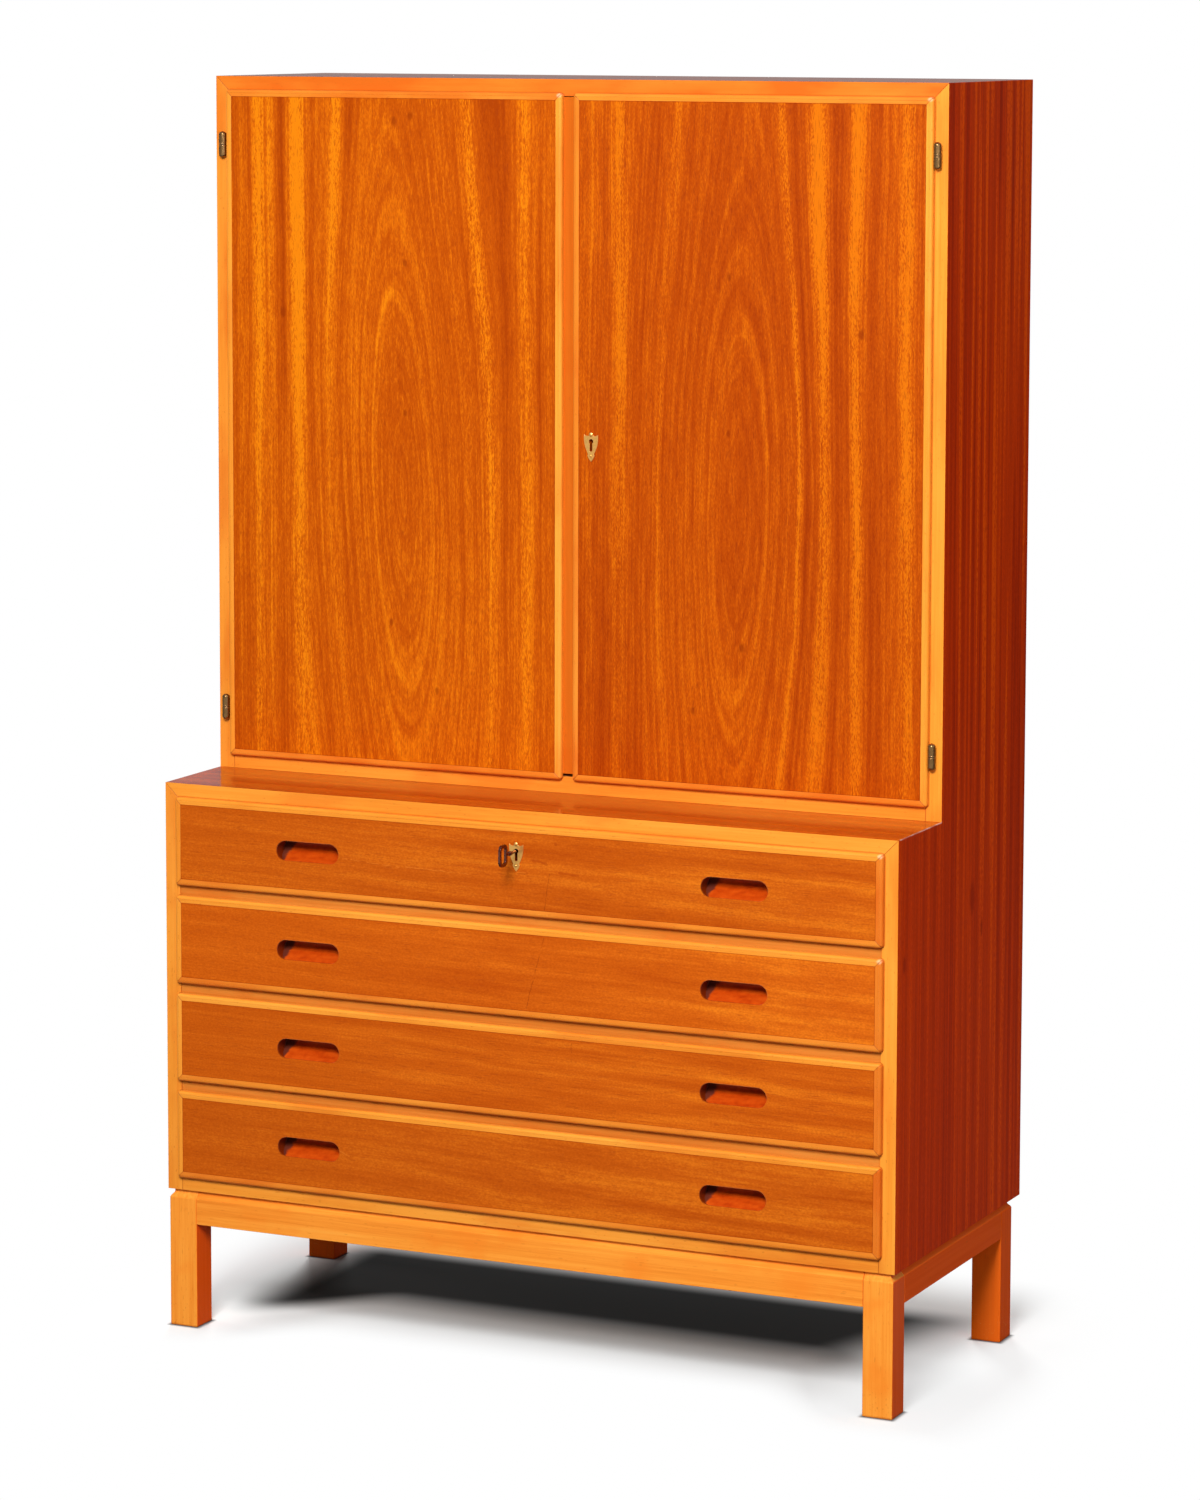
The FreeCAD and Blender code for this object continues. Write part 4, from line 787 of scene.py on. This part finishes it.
def eased(node, ease, finish, reshape=None, segments=2):
    """A new piece from a CAD node: each solid merged, its flat faces made whole and its edges eased.

    finish is a material, or gives one for a solid's corners. reshape may move the corners beforehand.
    """
    corners = []
    faces = []
    indices = []
    materials = []
    for places, triangles in node_solids(node):
        if reshape:
            places = reshape(places)
        own_finish = finish(places) if callable(finish) else finish
        if own_finish not in materials:
            materials.append(own_finish)
        offset = sum(len(found) for found in corners)
        corners.append(places)
        faces += (triangles + offset).tolist()
        indices += [materials.index(own_finish)] * len(triangles)
    mesh = mesh_from(f"{node}_mesh", np.vstack(corners), faces, materials, indices)
    shape = bmesh.new()
    shape.from_mesh(mesh)
    whole = {"verts": shape.verts, "edges": shape.edges}
    bmesh.ops.dissolve_limit(shape, angle_limit=FLAT, delimit={"MATERIAL"}, **whole)
    shape.to_mesh(mesh)
    shape.free()
    piece = new_piece(f"{node}_shaped", mesh, BODY_OF[node], SLOT_OF[node], [node])
    bevel = piece.modifiers.new("ease", "BEVEL")
    bevel.limit_method = "ANGLE"
    bevel.angle_limit = SHARP
    bevel.width = ease
    bevel.segments = segments
    bevel.use_clamp_overlap = False
    piece.modifiers.new("even", "WEIGHTED_NORMAL")
    return piece


def drawn_in(rear, amount):
    """A reshape that brings the corners on a rear face forwards by a small amount."""

    def reshape(corners):
        return np.where((corners > rear - SAME_PLACE) & (np.arange(3) == 1), corners - amount, corners)

    return reshape


def grid_faces(rows, columns, closed_rows=False, closed_columns=False):
    """Quads of a grid of corners, numbered row by row, closed round in either direction if asked."""
    row = np.arange(rows if closed_rows else rows - 1)
    column = np.arange(columns if closed_columns else columns - 1)
    row, column = np.meshgrid(row, column, indexing="ij")
    next_row = (row + 1) % rows
    next_column = (column + 1) % columns
    corners = ((row, column), (row, next_column), (next_row, next_column), (next_row, column))
    return np.stack([row * columns + column for row, column in corners], axis=-1).reshape(-1, 4)


def merged(mesh):
    """Joins corners that lie in one place, drops faces without area and turns all faces outwards."""
    shape = bmesh.new()
    shape.from_mesh(mesh)
    bmesh.ops.remove_doubles(shape, verts=shape.verts, dist=SAME_PLACE)
    bmesh.ops.dissolve_degenerate(shape, dist=SAME_PLACE, edges=shape.edges)
    bmesh.ops.recalc_face_normals(shape, faces=shape.faces)
    shape.to_mesh(mesh)
    shape.free()
    return mesh


def turned(name, profile, origin, along, finish, steps=40):
    """A lathe-turned ring: its profile is a closed loop of heights and radii in millimetres.

    At height h and angle a, a point is h along the axis and r(h) out at that angle.
    """
    heights, radii = np.array(profile, float).T * MM
    angle = np.linspace(0, 2 * np.pi, steps, endpoint=False)
    one = radii[:, None] * np.cos(angle)
    two = radii[:, None] * np.sin(angle)
    rise = np.broadcast_to(heights[:, None], one.shape)
    order = {"X": (rise, one, two), "Y": (one, rise, two), "Z": (one, two, rise)}[along]
    corners = np.stack(order, axis=-1).reshape(-1, 3) + np.array(origin)
    faces = grid_faces(len(profile), steps, closed_rows=True, closed_columns=True)
    return merged(mesh_from(name, corners, faces, [finish]))


def joined_mesh(name, meshes):
    """Several meshes as one."""
    shape = bmesh.new()
    materials = []
    for mesh in meshes:
        first = len(shape.faces)
        shape.from_mesh(mesh)
        shape.faces.ensure_lookup_table()
        moved = []
        for finish in mesh.materials:
            if finish not in materials:
                materials.append(finish)
            moved.append(materials.index(finish))
        for face in shape.faces[first:]:
            face.material_index = moved[face.material_index]
    made = bpy.data.meshes.new(name)
    shape.to_mesh(made)
    shape.free()
    for finish in materials:
        made.materials.append(finish)
    return made


class HighboardOperator(bpy.types.Operator):
    """Base of the cabinet's operators."""

    bl_options = {"REGISTER", "UNDO"}

    def execute(self, context):
        self.make()
        return {"FINISHED"}


# Stand and case


class HIGHBOARD_OT_stand(HighboardOperator):
    """Legs and rails of solid orange wood, rounded by hand, with their blocks and screws"""

    bl_idname = "highboard.stand"
    bl_label = "Stand"

    def make(self):
        for node, slot in SLOT_OF.items():
            if slot == "stand_wood":
                ease = sizes().leg_ease if node.startswith("leg") else sizes().rail_ease
                eased(node, ease, stand_wood("front" in node), segments=3)
        eased("corner_blocks", sizes().board_ease, inside_wood)
        eased("stand_screws", sizes().joint_ease, steel_finish())


def stand_wood(in_front):
    """The orange wood of the stand. Legs and rails away from the front carry a painted shade that makes them
    redder and darker.
    """
    name, shine, painted_shade = ("front_stand_wood", 0.1, 0.02) if in_front else ("rear_stand_wood", 0.03, 0.75)
    looks = {"contrast": 1.25, "shine": shine, "worn": True, "painted_shade": painted_shade}
    return lambda corners: grained(name, colours().stand, longest(corners), **looks)


# How far the left, right, lower and upper strip of each frame are darker and redder: partly the wood's own
# tone, partly painted shade.
EDGING_SHADE_AND_REDNESS = {
    "lower_edging": (0.1, 0.0, 0.1, 0.1),
    "upper_edging": (0.25, 0.0, 0.15, 0.68),
    "left_door_edging": (0.1, 0.0, 0.5, 0.4),
    "right_door_edging": (0.45, 0.0, 0.5, 0.35),
}


def edging_finish(node, side_shade_and_redness, joint=None, worn=False, front=None):
    """The finish of the edging round one frame. Where worn is set, the front gets a pale spot at its upper
    outer corner: partly wear, partly a painted highlight.
    """
    low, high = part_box(node)
    corners = [(high.x - 4 * MM, low.y, high.z - 3 * MM)] if worn else []
    return frame_wood(f"{node}_wood", colours().edging, low, high, joint, side_shade_and_redness, corners, front)


BACKS = ("back_lower", "back_upper")
# How far the rear edges of the sides are held back, so that their easing stays inside the cabinet's own size.
EASED_HAIR = 0.06 * MM


class HIGHBOARD_OT_case(HighboardOperator):
    """Stepped sides, top boards, floors, shelves and backs"""

    bl_idname = "highboard.case"
    bl_label = "Case"

    def make(self):
        ease = sizes().board_ease
        for node in ("side_left", "side_right"):
            eased(node, ease, side_finish(), reshape=drawn_in(CAD_BOX[1].y, EASED_HAIR))
        for node in ("step_top", "top_board"):
            eased(node, ease, top_finish())
        divider = grained("divider_wood", colours().divider, "X", gloss=0.5, contrast=1.1)
        eased("drawer_dividers", ease, divider)
        for node, slot in SLOT_OF.items():
            if slot == "inside_wood" and node != "corner_blocks" and not node.startswith("drawer_"):
                eased(node, ease, inside_wood)
        eased("drawer_runners", ease, inside_wood)
        back = grained("back_wood", colours().backs, "Z", gloss=0.6, contrast=1.2, shine=0.2)
        rear = max(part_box(node)[1].y for node in BACKS)
        for node in BACKS:
            eased(node, ease, back, reshape=drawn_in(rear, sizes().back_inset))


BOARD = 22 * MM
# A face looks along an axis when its normal reaches this far along it.
SQUARE_ON = 0.9
# A pitch longer than the cupboard is high, for a frame that carries a single row of fronts.
ONE_ROW = 2.0


class HIGHBOARD_OT_case_edging(HighboardOperator):
    """Mitred edging on the front of the case, whose outer sides carry the case veneer"""

    bl_idname = "highboard.case_edging"
    bl_label = "Case Edging"

    def make(self):
        drawer_low, drawer_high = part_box("drawer_4_edging")
        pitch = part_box("drawer_3_edging")[0].z - drawer_low.z
        drawer_low.x = -drawer_high.x
        door_low, door_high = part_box("right_door_edging")
        fronts = {
            "lower_edging": (drawer_low, drawer_high, pitch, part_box("drawer_1_edging")[1].z),
            "upper_edging": (door_low, door_high, ONE_ROW, door_high.z),
        }
        for node, front in fronts.items():
            finish = edging_finish(node, EDGING_SHADE_AND_REDNESS[node], BOARD, front=front)
            piece = eased(node, sizes().joint_ease, finish)
            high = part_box(node)[1]
            mesh = piece.data
            side = len(mesh.materials)
            mesh.materials.append(side_finish())
            mesh.materials.append(top_finish())
            for face in mesh.polygons:
                if abs(face.normal.x) > SQUARE_ON and abs(face.center.x) > high.x - MM:
                    face.material_index = side
                elif face.normal.z > SQUARE_ON and face.center.z > high.z - MM:
                    face.material_index = side + 1


# Fronts


# The figure of each door's veneer. A band has its place from the middle of the ovals, half its width and its
# level, where 0.5 is plain. A ring has its distance from that middle and its level. A knot has its place on
# the door and its radius.
LEFT_BANDS = (
    (-0.248, 0.008, 0.42), (-0.226, 0.006, 0.42), (-0.212, 0.012, 0.86), (-0.195, 0.006, 0.68),
    (-0.176, 0.011, 0.26), (-0.152, 0.016, 0.9), (-0.132, 0.006, 0.3), (-0.105, 0.011, 0.72),
    (-0.09, 0.006, 0.3), (-0.07, 0.007, 0.56), (0.1, 0.016, 0.56), (0.131, 0.014, 0.74),
    (0.155, 0.01, 0.28), (0.183, 0.014, 0.78), (0.204, 0.006, 0.32),
)
LEFT_RINGS = (
    (0.0, 0.46), (0.03, 0.44), (0.038, 0.5), (0.043, 0.76), (0.047, 0.52),
    (0.053, 0.46), (0.057, 0.66), (0.062, 0.47), (0.085, 0.5), (0.15, 0.5),
)
LEFT_KNOTS = (
    (-0.42, 1.366, 0.006), (-0.253, 1.623, 0.005), (-0.229, 1.63, 0.005), (-0.237, 1.436, 0.004),
    (-0.237, 1.237, 0.004), (-0.258, 0.956, 0.004), (-0.19, 0.868, 0.004),
)
RIGHT_BANDS = (
    (-0.208, 0.008, 0.6), (-0.19, 0.008, 0.42), (-0.166, 0.017, 0.7), (-0.14, 0.01, 0.43),
    (-0.115, 0.009, 0.64), (-0.1, 0.006, 0.46), (0.071, 0.009, 0.58), (0.086, 0.007, 0.86),
    (0.097, 0.006, 0.27), (0.122, 0.013, 0.95), (0.142, 0.008, 0.27), (0.166, 0.011, 0.98),
    (0.19, 0.013, 0.3), (0.208, 0.008, 0.45), (0.234, 0.014, 0.88),
)
RIGHT_RINGS = (
    (0.0, 0.48), (0.028, 0.46), (0.034, 0.5), (0.04, 0.66), (0.045, 0.5),
    (0.05, 0.46), (0.055, 0.6), (0.06, 0.47), (0.08, 0.5), (0.15, 0.5),
)
RIGHT_KNOTS = (
    (0.413, 1.361, 0.006), (0.23, 1.429, 0.004), (0.23, 1.228, 0.004), (0.25, 0.951, 0.005),
    (0.182, 0.865, 0.004),
)
# The middle of each door's ovals, and how far their centre line leans for each metre of height.
LEFT_OVALS = (-0.244, 1.137)
RIGHT_OVALS = (0.242, 1.128)
LEFT_LEAN = 0.035
RIGHT_LEAN = -0.012


class HIGHBOARD_OT_doors(HighboardOperator):
    """Two veneered doors in their edging, and the strip that closes the gap between them"""

    bl_idname = "highboard.doors"
    bl_label = "Doors"

    def make(self):
        ease = sizes().joint_ease
        figure = (LEFT_OVALS, LEFT_LEAN, LEFT_BANDS, LEFT_RINGS, LEFT_KNOTS)
        left = door_veneer("left_door_veneer", colours().left_door, "left_door_panel", *figure, 2.0)
        plate_low, plate_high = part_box("door_escutcheon")
        keyhole = (plate_low + plate_high) / 2
        keyhole.y = plate_high.y
        figure = (RIGHT_OVALS, RIGHT_LEAN, RIGHT_BANDS, RIGHT_RINGS, RIGHT_KNOTS)
        right = door_veneer(
            "right_door_veneer", colours().right_door, "right_door_panel", *figure, 21.0, keyhole
        )
        eased("left_door_panel", ease, left)
        eased("right_door_panel", ease, right)
        for node in ("left_door_edging", "right_door_edging"):
            eased(node, ease, edging_finish(node, EDGING_SHADE_AND_REDNESS[node], worn=True))
        closing = grained("closing_wood", colours().closing, "Z", contrast=0.8)
        eased("closing_strip", sizes().board_ease, closing)


# Small marks on the drawers' fronts: the kind of each, its two ends, its width and how far it wanders.
DRAWER_MARKS = {
    "drawer_1": (
        ("scratch", (-0.254, 0.661), (-0.17, 0.656), 0.0009, 0.006),
        ("scratch", (-0.16, 0.657), (-0.071, 0.654), 0.0009, 0.006),
        ("crack", (0.047, 0.664), (0.04, 0.616), 0.0006, 0.004),
        ("stain", (0.024, 0.679), (0.043, 0.676), 0.0024, 0.006),
        ("stain", (0.062, 0.666), (0.088, 0.664), 0.0024, 0.006),
        ("stain", (0.056, 0.703), (0.0562, 0.7035), 0.003, 0.0),
        ("scratch", (0.0, 0.6625), (0.013, 0.6625), 0.0006, 0.0),
        ("crack", (0.001, 0.6605), (0.012, 0.6605), 0.0006, 0.0),
    ),
    "drawer_2": (("crack", (0.039, 0.58), (0.014, 0.484), 0.0008, 0.005),),
    "drawer_3": (("crack", (0.079, 0.449), (0.079, 0.42), 0.0005, 0.004),),
    "drawer_4": (("scratch", (-0.262, 0.268), (-0.244, 0.262), 0.0012, 0.006),),
}
DRAWER_TONES = {"drawer_1": 0.91, "drawer_2": 1.0, "drawer_3": 0.95, "drawer_4": 0.9}
# How far the left, right, lower and upper strip of a drawer's edging are darker and redder: partly the wood's
# own tone, partly painted shade.
DRAWER_SHADE_AND_REDNESS = (0.1, 0.7, 0.4, 0.08)


class HIGHBOARD_OT_drawers(HighboardOperator):
    """Four drawers: veneered fronts in their edging, scooped pulls and the boxes behind"""

    bl_idname = "highboard.drawers"
    bl_label = "Drawers"

    def make(self):
        ease = sizes().joint_ease
        for number, drawer in enumerate(DRAWERS):
            front, edging, cups = (f"{drawer}_{part}" for part in ("front", "edging", "cups"))
            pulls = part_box(cups)
            tone = [value * DRAWER_TONES[drawer] for value in colours().drawers]
            seed = 5.0 + 7.3 * number
            veneer = drawer_veneer(f"{drawer}_veneer", tone, front, pulls, seed, DRAWER_MARKS[drawer])
            eased(front, ease, veneer)
            eased(edging, ease, edging_finish(edging, DRAWER_SHADE_AND_REDNESS, worn=number < 2))
            seed = 40.0 + 3.7 * number
            eased(cups, ease, cup_wood(f"{drawer}_cup_wood", colours().cups, pulls, seed))
            eased(f"{drawer}_box", sizes().board_ease, inside_wood)


# Metal


# The rings on the hinge barrels, in millimetres: their height over the joint of the knuckles, and the heights
# and radii of their outline.
RING_PLACE = 1.4
RING_PROFILE = ((-0.55, 4.6), (-0.5, 5.05), (-0.3, 5.22), (0, 5.28), (0.3, 5.22), (0.5, 5.05), (0.55, 4.6))


KNUCKLES = {"case": "hinge_case_knuckles", "left": "left_door_knuckles", "right": "right_door_knuckles"}


class HIGHBOARD_OT_hinges(HighboardOperator):
    """Four barrel hinges of old bronze, with their pins"""

    bl_idname = "highboard.hinges"
    bl_label = "Hinges"

    def make(self):
        bronze = metal("aged_bronze", colours().bronze, 0.24, 0.4, patch_size=200.0)
        for node in KNUCKLES.values():
            eased(node, sizes().metal_ease, bronze)
        eased("hinge_pins", sizes().metal_ease, steel_finish())
        self.rings()

    @staticmethod
    def rings():
        """Thin bright rings on the barrels, one on each side of the joint between the two knuckles."""
        bright = toned(colours().bronze, 1.5, 1.6, 1.9)
        polished = metal("worn_bronze", bright, 0.24, 0.3, patch_size=300.0)
        rings = {owner: [] for owner in KNUCKLES}
        for number, (corners, _) in enumerate(node_solids("hinge_pins")):
            centre = (corners.min(0) + corners.max(0)) / 2
            for owner, rise in (("case", -RING_PLACE), ("left" if centre[0] < 0 else "right", RING_PLACE)):
                middle = centre + np.array([0, 0, rise * MM])
                rings[owner].append(turned(f"{owner}_ring_{number}", RING_PROFILE, middle, "Z", polished))
        for owner, node in KNUCKLES.items():
            mesh = joined_mesh(f"{owner}_hinge_rings", rings[owner])
            new_piece(f"{owner}_hinge_rings", mesh, BODY_OF[node], SLOT_OF[node])


class HIGHBOARD_OT_keyholes(HighboardOperator):
    """Two brass keyhole plates with bevelled rims and domed pins"""

    bl_idname = "highboard.keyholes"
    bl_label = "Keyhole Plates"

    def make(self):
        brass = metal("plate_brass", colours().brass, 0.34, 0.4, patch_size=200.0)
        for node in ("door_escutcheon", "drawer_escutcheon"):
            eased(node, sizes().metal_ease, brass, segments=1)


class HIGHBOARD_OT_locks(HighboardOperator):
    """Locks, bolts, guides and pegs of plain steel"""

    bl_idname = "highboard.locks"
    bl_label = "Locks and Bolts"

    def make(self):
        for node, slot in SLOT_OF.items():
            if slot == "fitting_steel" and node not in ("stand_screws", "hinge_pins"):
                eased(node, sizes().metal_ease, steel_finish())


class HIGHBOARD_OT_key(HighboardOperator):
    """The dark steel key: a ringed bow, a shank with its collar, and the bit"""

    bl_idname = "highboard.key"
    bl_label = "Key"

    def make(self):
        eased("key", sizes().metal_ease, metal("key_steel", colours().key, 0.18, 0.45, patch_size=400.0))


# The outline of a nail's head from its middle outwards, as shares of how far it lies in and of its radius.
HEAD_PROFILE = ((0.0, 0.0), (-0.12, 0.55), (-0.45, 0.9), (-1.0, 1.0))
HEAD_CORNERS = 12
NAIL_INSET = 8 * MM


class HIGHBOARD_OT_nails(HighboardOperator):
    """Small nail heads along the edges of the back boards"""

    bl_idname = "highboard.nails"
    bl_label = "Back Nails"

    def make(self):
        places = np.vstack([self.row_places(*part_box(node)) for node in BACKS])
        rise, out = np.array(HEAD_PROFILE).T * [[sizes().back_inset], [sizes().nail_radius]]
        angle = np.linspace(0, 2 * np.pi, HEAD_CORNERS, endpoint=False)
        one = out[:, None] * np.cos(angle)
        two = out[:, None] * np.sin(angle)
        level = np.broadcast_to(rise[:, None], one.shape)
        head = np.stack([one, level, two], axis=-1).reshape(-1, 3)
        corners = (places[:, None, :] + head).reshape(-1, 3)
        quads = grid_faces(len(rise), len(angle), closed_columns=True)
        faces = (quads[None] + (np.arange(len(places)) * len(head))[:, None, None]).reshape(-1, 4)
        mesh = merged(mesh_from("back_nails", corners, faces, [steel_finish()]))
        new_piece("back_nails", mesh, "root", "fitting_steel")

    @staticmethod
    def row_places(low, high):
        """Nail places along the four edges of a board, a fixed distance in, at an even spacing."""
        left, right = low.x + NAIL_INSET, high.x - NAIL_INSET
        bottom, top = low.z + NAIL_INSET, high.z - NAIL_INSET
        wide = np.linspace(left, right, round((high.x - low.x) / sizes().nail_spacing) + 1)
        tall = np.linspace(bottom, top, round((high.z - low.z) / sizes().nail_spacing) + 1)[1:-1]
        rows = [(wide, np.full_like(wide, z)) for z in (bottom, top)]
        columns = [(np.full_like(tall, x), tall) for x in (left, right)]
        x, z = np.hstack(rows + columns)
        return np.stack([x, np.full_like(x, high.y), z], axis=1)


# Stage


FLOOR_REACH = 30.0
LAMP_TARGET = (0.0, 0.0, 0.8)
CAMERA_PLACE = (2.683, -5.755, 1.781)
CAMERA_TURN = math.radians(24.939)
CAMERA_PITCH = math.radians(6.302)
CAMERA_ROLL = math.radians(-0.124)
CAMERA_LENS = 116.09
CAMERA_SHIFT = (0.00587, -0.1433)


class HIGHBOARD_OT_stage(HighboardOperator):
    """Pale floor, white surroundings, soft lamps and the camera"""

    bl_idname = "highboard.stage"
    bl_label = "Stage"

    def make(self):
        self.floor()
        self.world()
        self.lamp("key_lamp", (1.0, -4.1, 3.35), 1.5, lights().key_power)
        self.lamp("fill_lamp", (4.0, -2.4, 2.0), 2.4, lights().fill_power)
        self.lamp("left_lamp", (-4.2, 0.4, 1.4), 1.4, lights().left_power, mirrored=False)
        self.lamp("back_lamp", (-2.2, 4.4, 3.0), 1.4, lights().back_power, mirrored=False)
        self.camera()
        bpy.context.scene.view_settings.view_transform = "Standard"

    @staticmethod
    def floor():
        """A wide level floor, white to the camera where nothing shades it and dark under the cabinet.

        The white fades out from the cabinet's footprint, and reaches in under its front and its right side as
        painted light
        over the real shade: fading is 1 on the open floor. Under is 1 where the floor lies deepest in shade,
        between the legs and round each foot, and there its colour is darkened as a painted shadow.
        """
        made, graph = material("floor")
        x, y, _ = graph.parts(graph.place())
        path = graph.node("ShaderNodeLightPath", output="Is Camera Ray").socket.node
        seen = Wire(graph, path.outputs["Is Camera Ray"])
        mirrored = Wire(graph, path.outputs["Is Glossy Ray"]) * graph.smooth(y, -1.0, -3.0)
        low, high = CAD_BOX
        inset = 0.1
        away = graph.beyond(x, y, (low.x + inset, low.y + inset), (high.x - inset, high.y))
        forward = y + graph.smooth(abs(x), 0.3, 0.48, 0.0, 0.12)
        slanted = x - y * 0.33
        before = graph.smooth(forward, -0.02, -0.17)
        beside = graph.smooth(slanted, 0.33, 0.5, 0.0, 0.6)
        fading = graph.smooth(away, 0.05, 0.26).math("MAXIMUM", before).math("MAXIMUM", beside)
        sides = graph.smooth(slanted, 0.42, 0.27) * graph.smooth(x, -0.54, -0.43)
        under = graph.smooth(forward, -0.01, 0.09) * sides * graph.smooth(y, 0.32, 0.24)
        for node in SLOT_OF:
            if node.startswith("leg_"):
                foot_low, foot_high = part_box(node)
                gap = graph.beyond(x, y, (foot_low.x, foot_low.y), (foot_high.x, foot_high.y))
                touching = graph.smooth(gap, 8 * MM, 0.0, 0.0, 0.85)
                under = under.math("MAXIMUM", touching)
                fading = fading * (1 - touching)
        open_grey, deepest_grey = 0.94, 0.045
        grey = open_grey - under * (open_grey - deepest_grey)
        shaded = graph.node("ShaderNodeCombineColor", values=[grey * 0.97, grey, grey])
        pale = graph.mix(seen, (0.2, 0.2, 0.2, 1), shaded)
        plain = graph.node("ShaderNodeBsdfDiffuse", values={"Color": pale})
        white = graph.node("ShaderNodeEmission", values={"Color": (1.0, 1.0, 1.0, 1), "Strength": 1.0})
        shader = graph.node("ShaderNodeMixShader", values=[fading * (seen + mirrored * 0.75), plain, white])
        graph.node("ShaderNodeOutputMaterial", values={"Surface": shader})
        span = np.linspace(-FLOOR_REACH, FLOOR_REACH, 9)
        x, y = np.meshgrid(span, span, indexing="ij")
        corners = np.stack([x, y, np.zeros_like(x)], axis=-1).reshape(-1, 3)
        mesh = mesh_from("floor", corners, grid_faces(len(span), len(span))[:, ::-1], [made])
        piece = bpy.data.objects.new("floor", merged(mesh))
        bpy.context.scene.collection.objects.link(piece)

    @staticmethod
    def world():
        """White to the camera, dimmer as light, and brighter in reflections the higher it lies."""
        world = bpy.data.worlds.new("studio")
        bpy.context.scene.world = world
        graph = Graph(world)
        path = graph.node("ShaderNodeLightPath", output="Is Camera Ray").socket.node
        rays = ("Is Camera Ray", "Is Glossy Ray", "Is Transmission Ray")
        camera, glossy, passing = (Wire(graph, path.outputs[name]) for name in rays)
        _, y, z = graph.parts(graph.node("ShaderNodeTexCoord", output="Generated"))
        shown = graph.smooth(z, -0.2, 0.9, 0.25, 0.6)
        level = graph.smooth(z, 0.05, 0.7, 0.05, 1.3) * graph.smooth(y, -0.5, 0.5, 1.0, 0.5)
        plain = 1 - camera - glossy - passing
        strength = camera + passing + glossy * shown + plain * level * lights().room
        values = {"Color": (1.0, 1.0, 1.0, 1), "Strength": strength}
        background = graph.node("ShaderNodeBackground", values=values)
        graph.node("ShaderNodeOutputWorld", values={"Surface": background})

    @staticmethod
    def lamp(name, place, size, power, mirrored=True):
        """A square soft lamp that faces the cabinet. One that isn't mirrored leaves no glare on polish."""
        data = bpy.data.lights.new(name, "AREA")
        data.size = size
        data.energy = power
        lamp = bpy.data.objects.new(name, data)
        lamp.location = place
        lamp.rotation_mode = "QUATERNION"
        lamp.rotation_quaternion = (Vector(LAMP_TARGET) - Vector(place)).to_track_quat("-Z", "Y")
        lamp.visible_glossy = mirrored
        bpy.context.scene.collection.objects.link(lamp)

    @staticmethod
    def camera():
        """The camera at the photograph's viewing angle."""
        data = bpy.data.cameras.new("camera")
        data.lens = CAMERA_LENS
        data.sensor_width = 36
        data.shift_x, data.shift_y = CAMERA_SHIFT
        data.clip_start = 0.1
        data.clip_end = 100
        camera = bpy.data.objects.new("camera", data)
        camera.location = CAMERA_PLACE
        camera.rotation_mode = "XYZ"
        camera.rotation_euler = (math.pi / 2 - CAMERA_PITCH, CAMERA_ROLL, CAMERA_TURN)
        bpy.context.scene.collection.objects.link(camera)
        bpy.context.scene.camera = camera


class HIGHBOARD_PT_panel(bpy.types.Panel):
    """The cabinet's steps, sizes and colours"""

    bl_idname = "HIGHBOARD_PT_panel"
    bl_label = "Stepped Highboard"
    bl_space_type = "VIEW_3D"
    bl_region_type = "UI"
    bl_category = "Highboard"

    def draw(self, context):
        layout = self.layout
        for operator in OPERATORS:
            layout.operator(operator.bl_idname)
        for group in SETTINGS:
            settings = getattr(context.scene, group)
            box = layout.box()
            for name in settings.bl_rna.properties.keys():
                if name not in ("rna_type", "name"):
                    box.prop(settings, name)


SETTINGS = {
    "highboard_colours": HighboardColours,
    "highboard_sizes": HighboardSizes,
    "highboard_light": HighboardLight,
}
OPERATORS = (
    HIGHBOARD_OT_stand,
    HIGHBOARD_OT_case,
    HIGHBOARD_OT_case_edging,
    HIGHBOARD_OT_doors,
    HIGHBOARD_OT_drawers,
    HIGHBOARD_OT_hinges,
    HIGHBOARD_OT_keyholes,
    HIGHBOARD_OT_locks,
    HIGHBOARD_OT_key,
    HIGHBOARD_OT_nails,
    HIGHBOARD_OT_stage,
)


def register():
    for name, settings in SETTINGS.items():
        bpy.utils.register_class(settings)
        setattr(bpy.types.Scene, name, bpy.props.PointerProperty(type=settings))
    for operator in OPERATORS:
        bpy.utils.register_class(operator)
    bpy.utils.register_class(HIGHBOARD_PT_panel)


def unregister():
    bpy.utils.unregister_class(HIGHBOARD_PT_panel)
    for operator in reversed(OPERATORS):
        bpy.utils.unregister_class(operator)
    for name, settings in SETTINGS.items():
        delattr(bpy.types.Scene, name)
        bpy.utils.unregister_class(settings)


def main():
    """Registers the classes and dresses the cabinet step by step."""
    register()
    for operator in OPERATORS:
        group, name = operator.bl_idname.split(".")
        getattr(getattr(bpy.ops, group), name)()


if __name__ == "__main__":
    main()
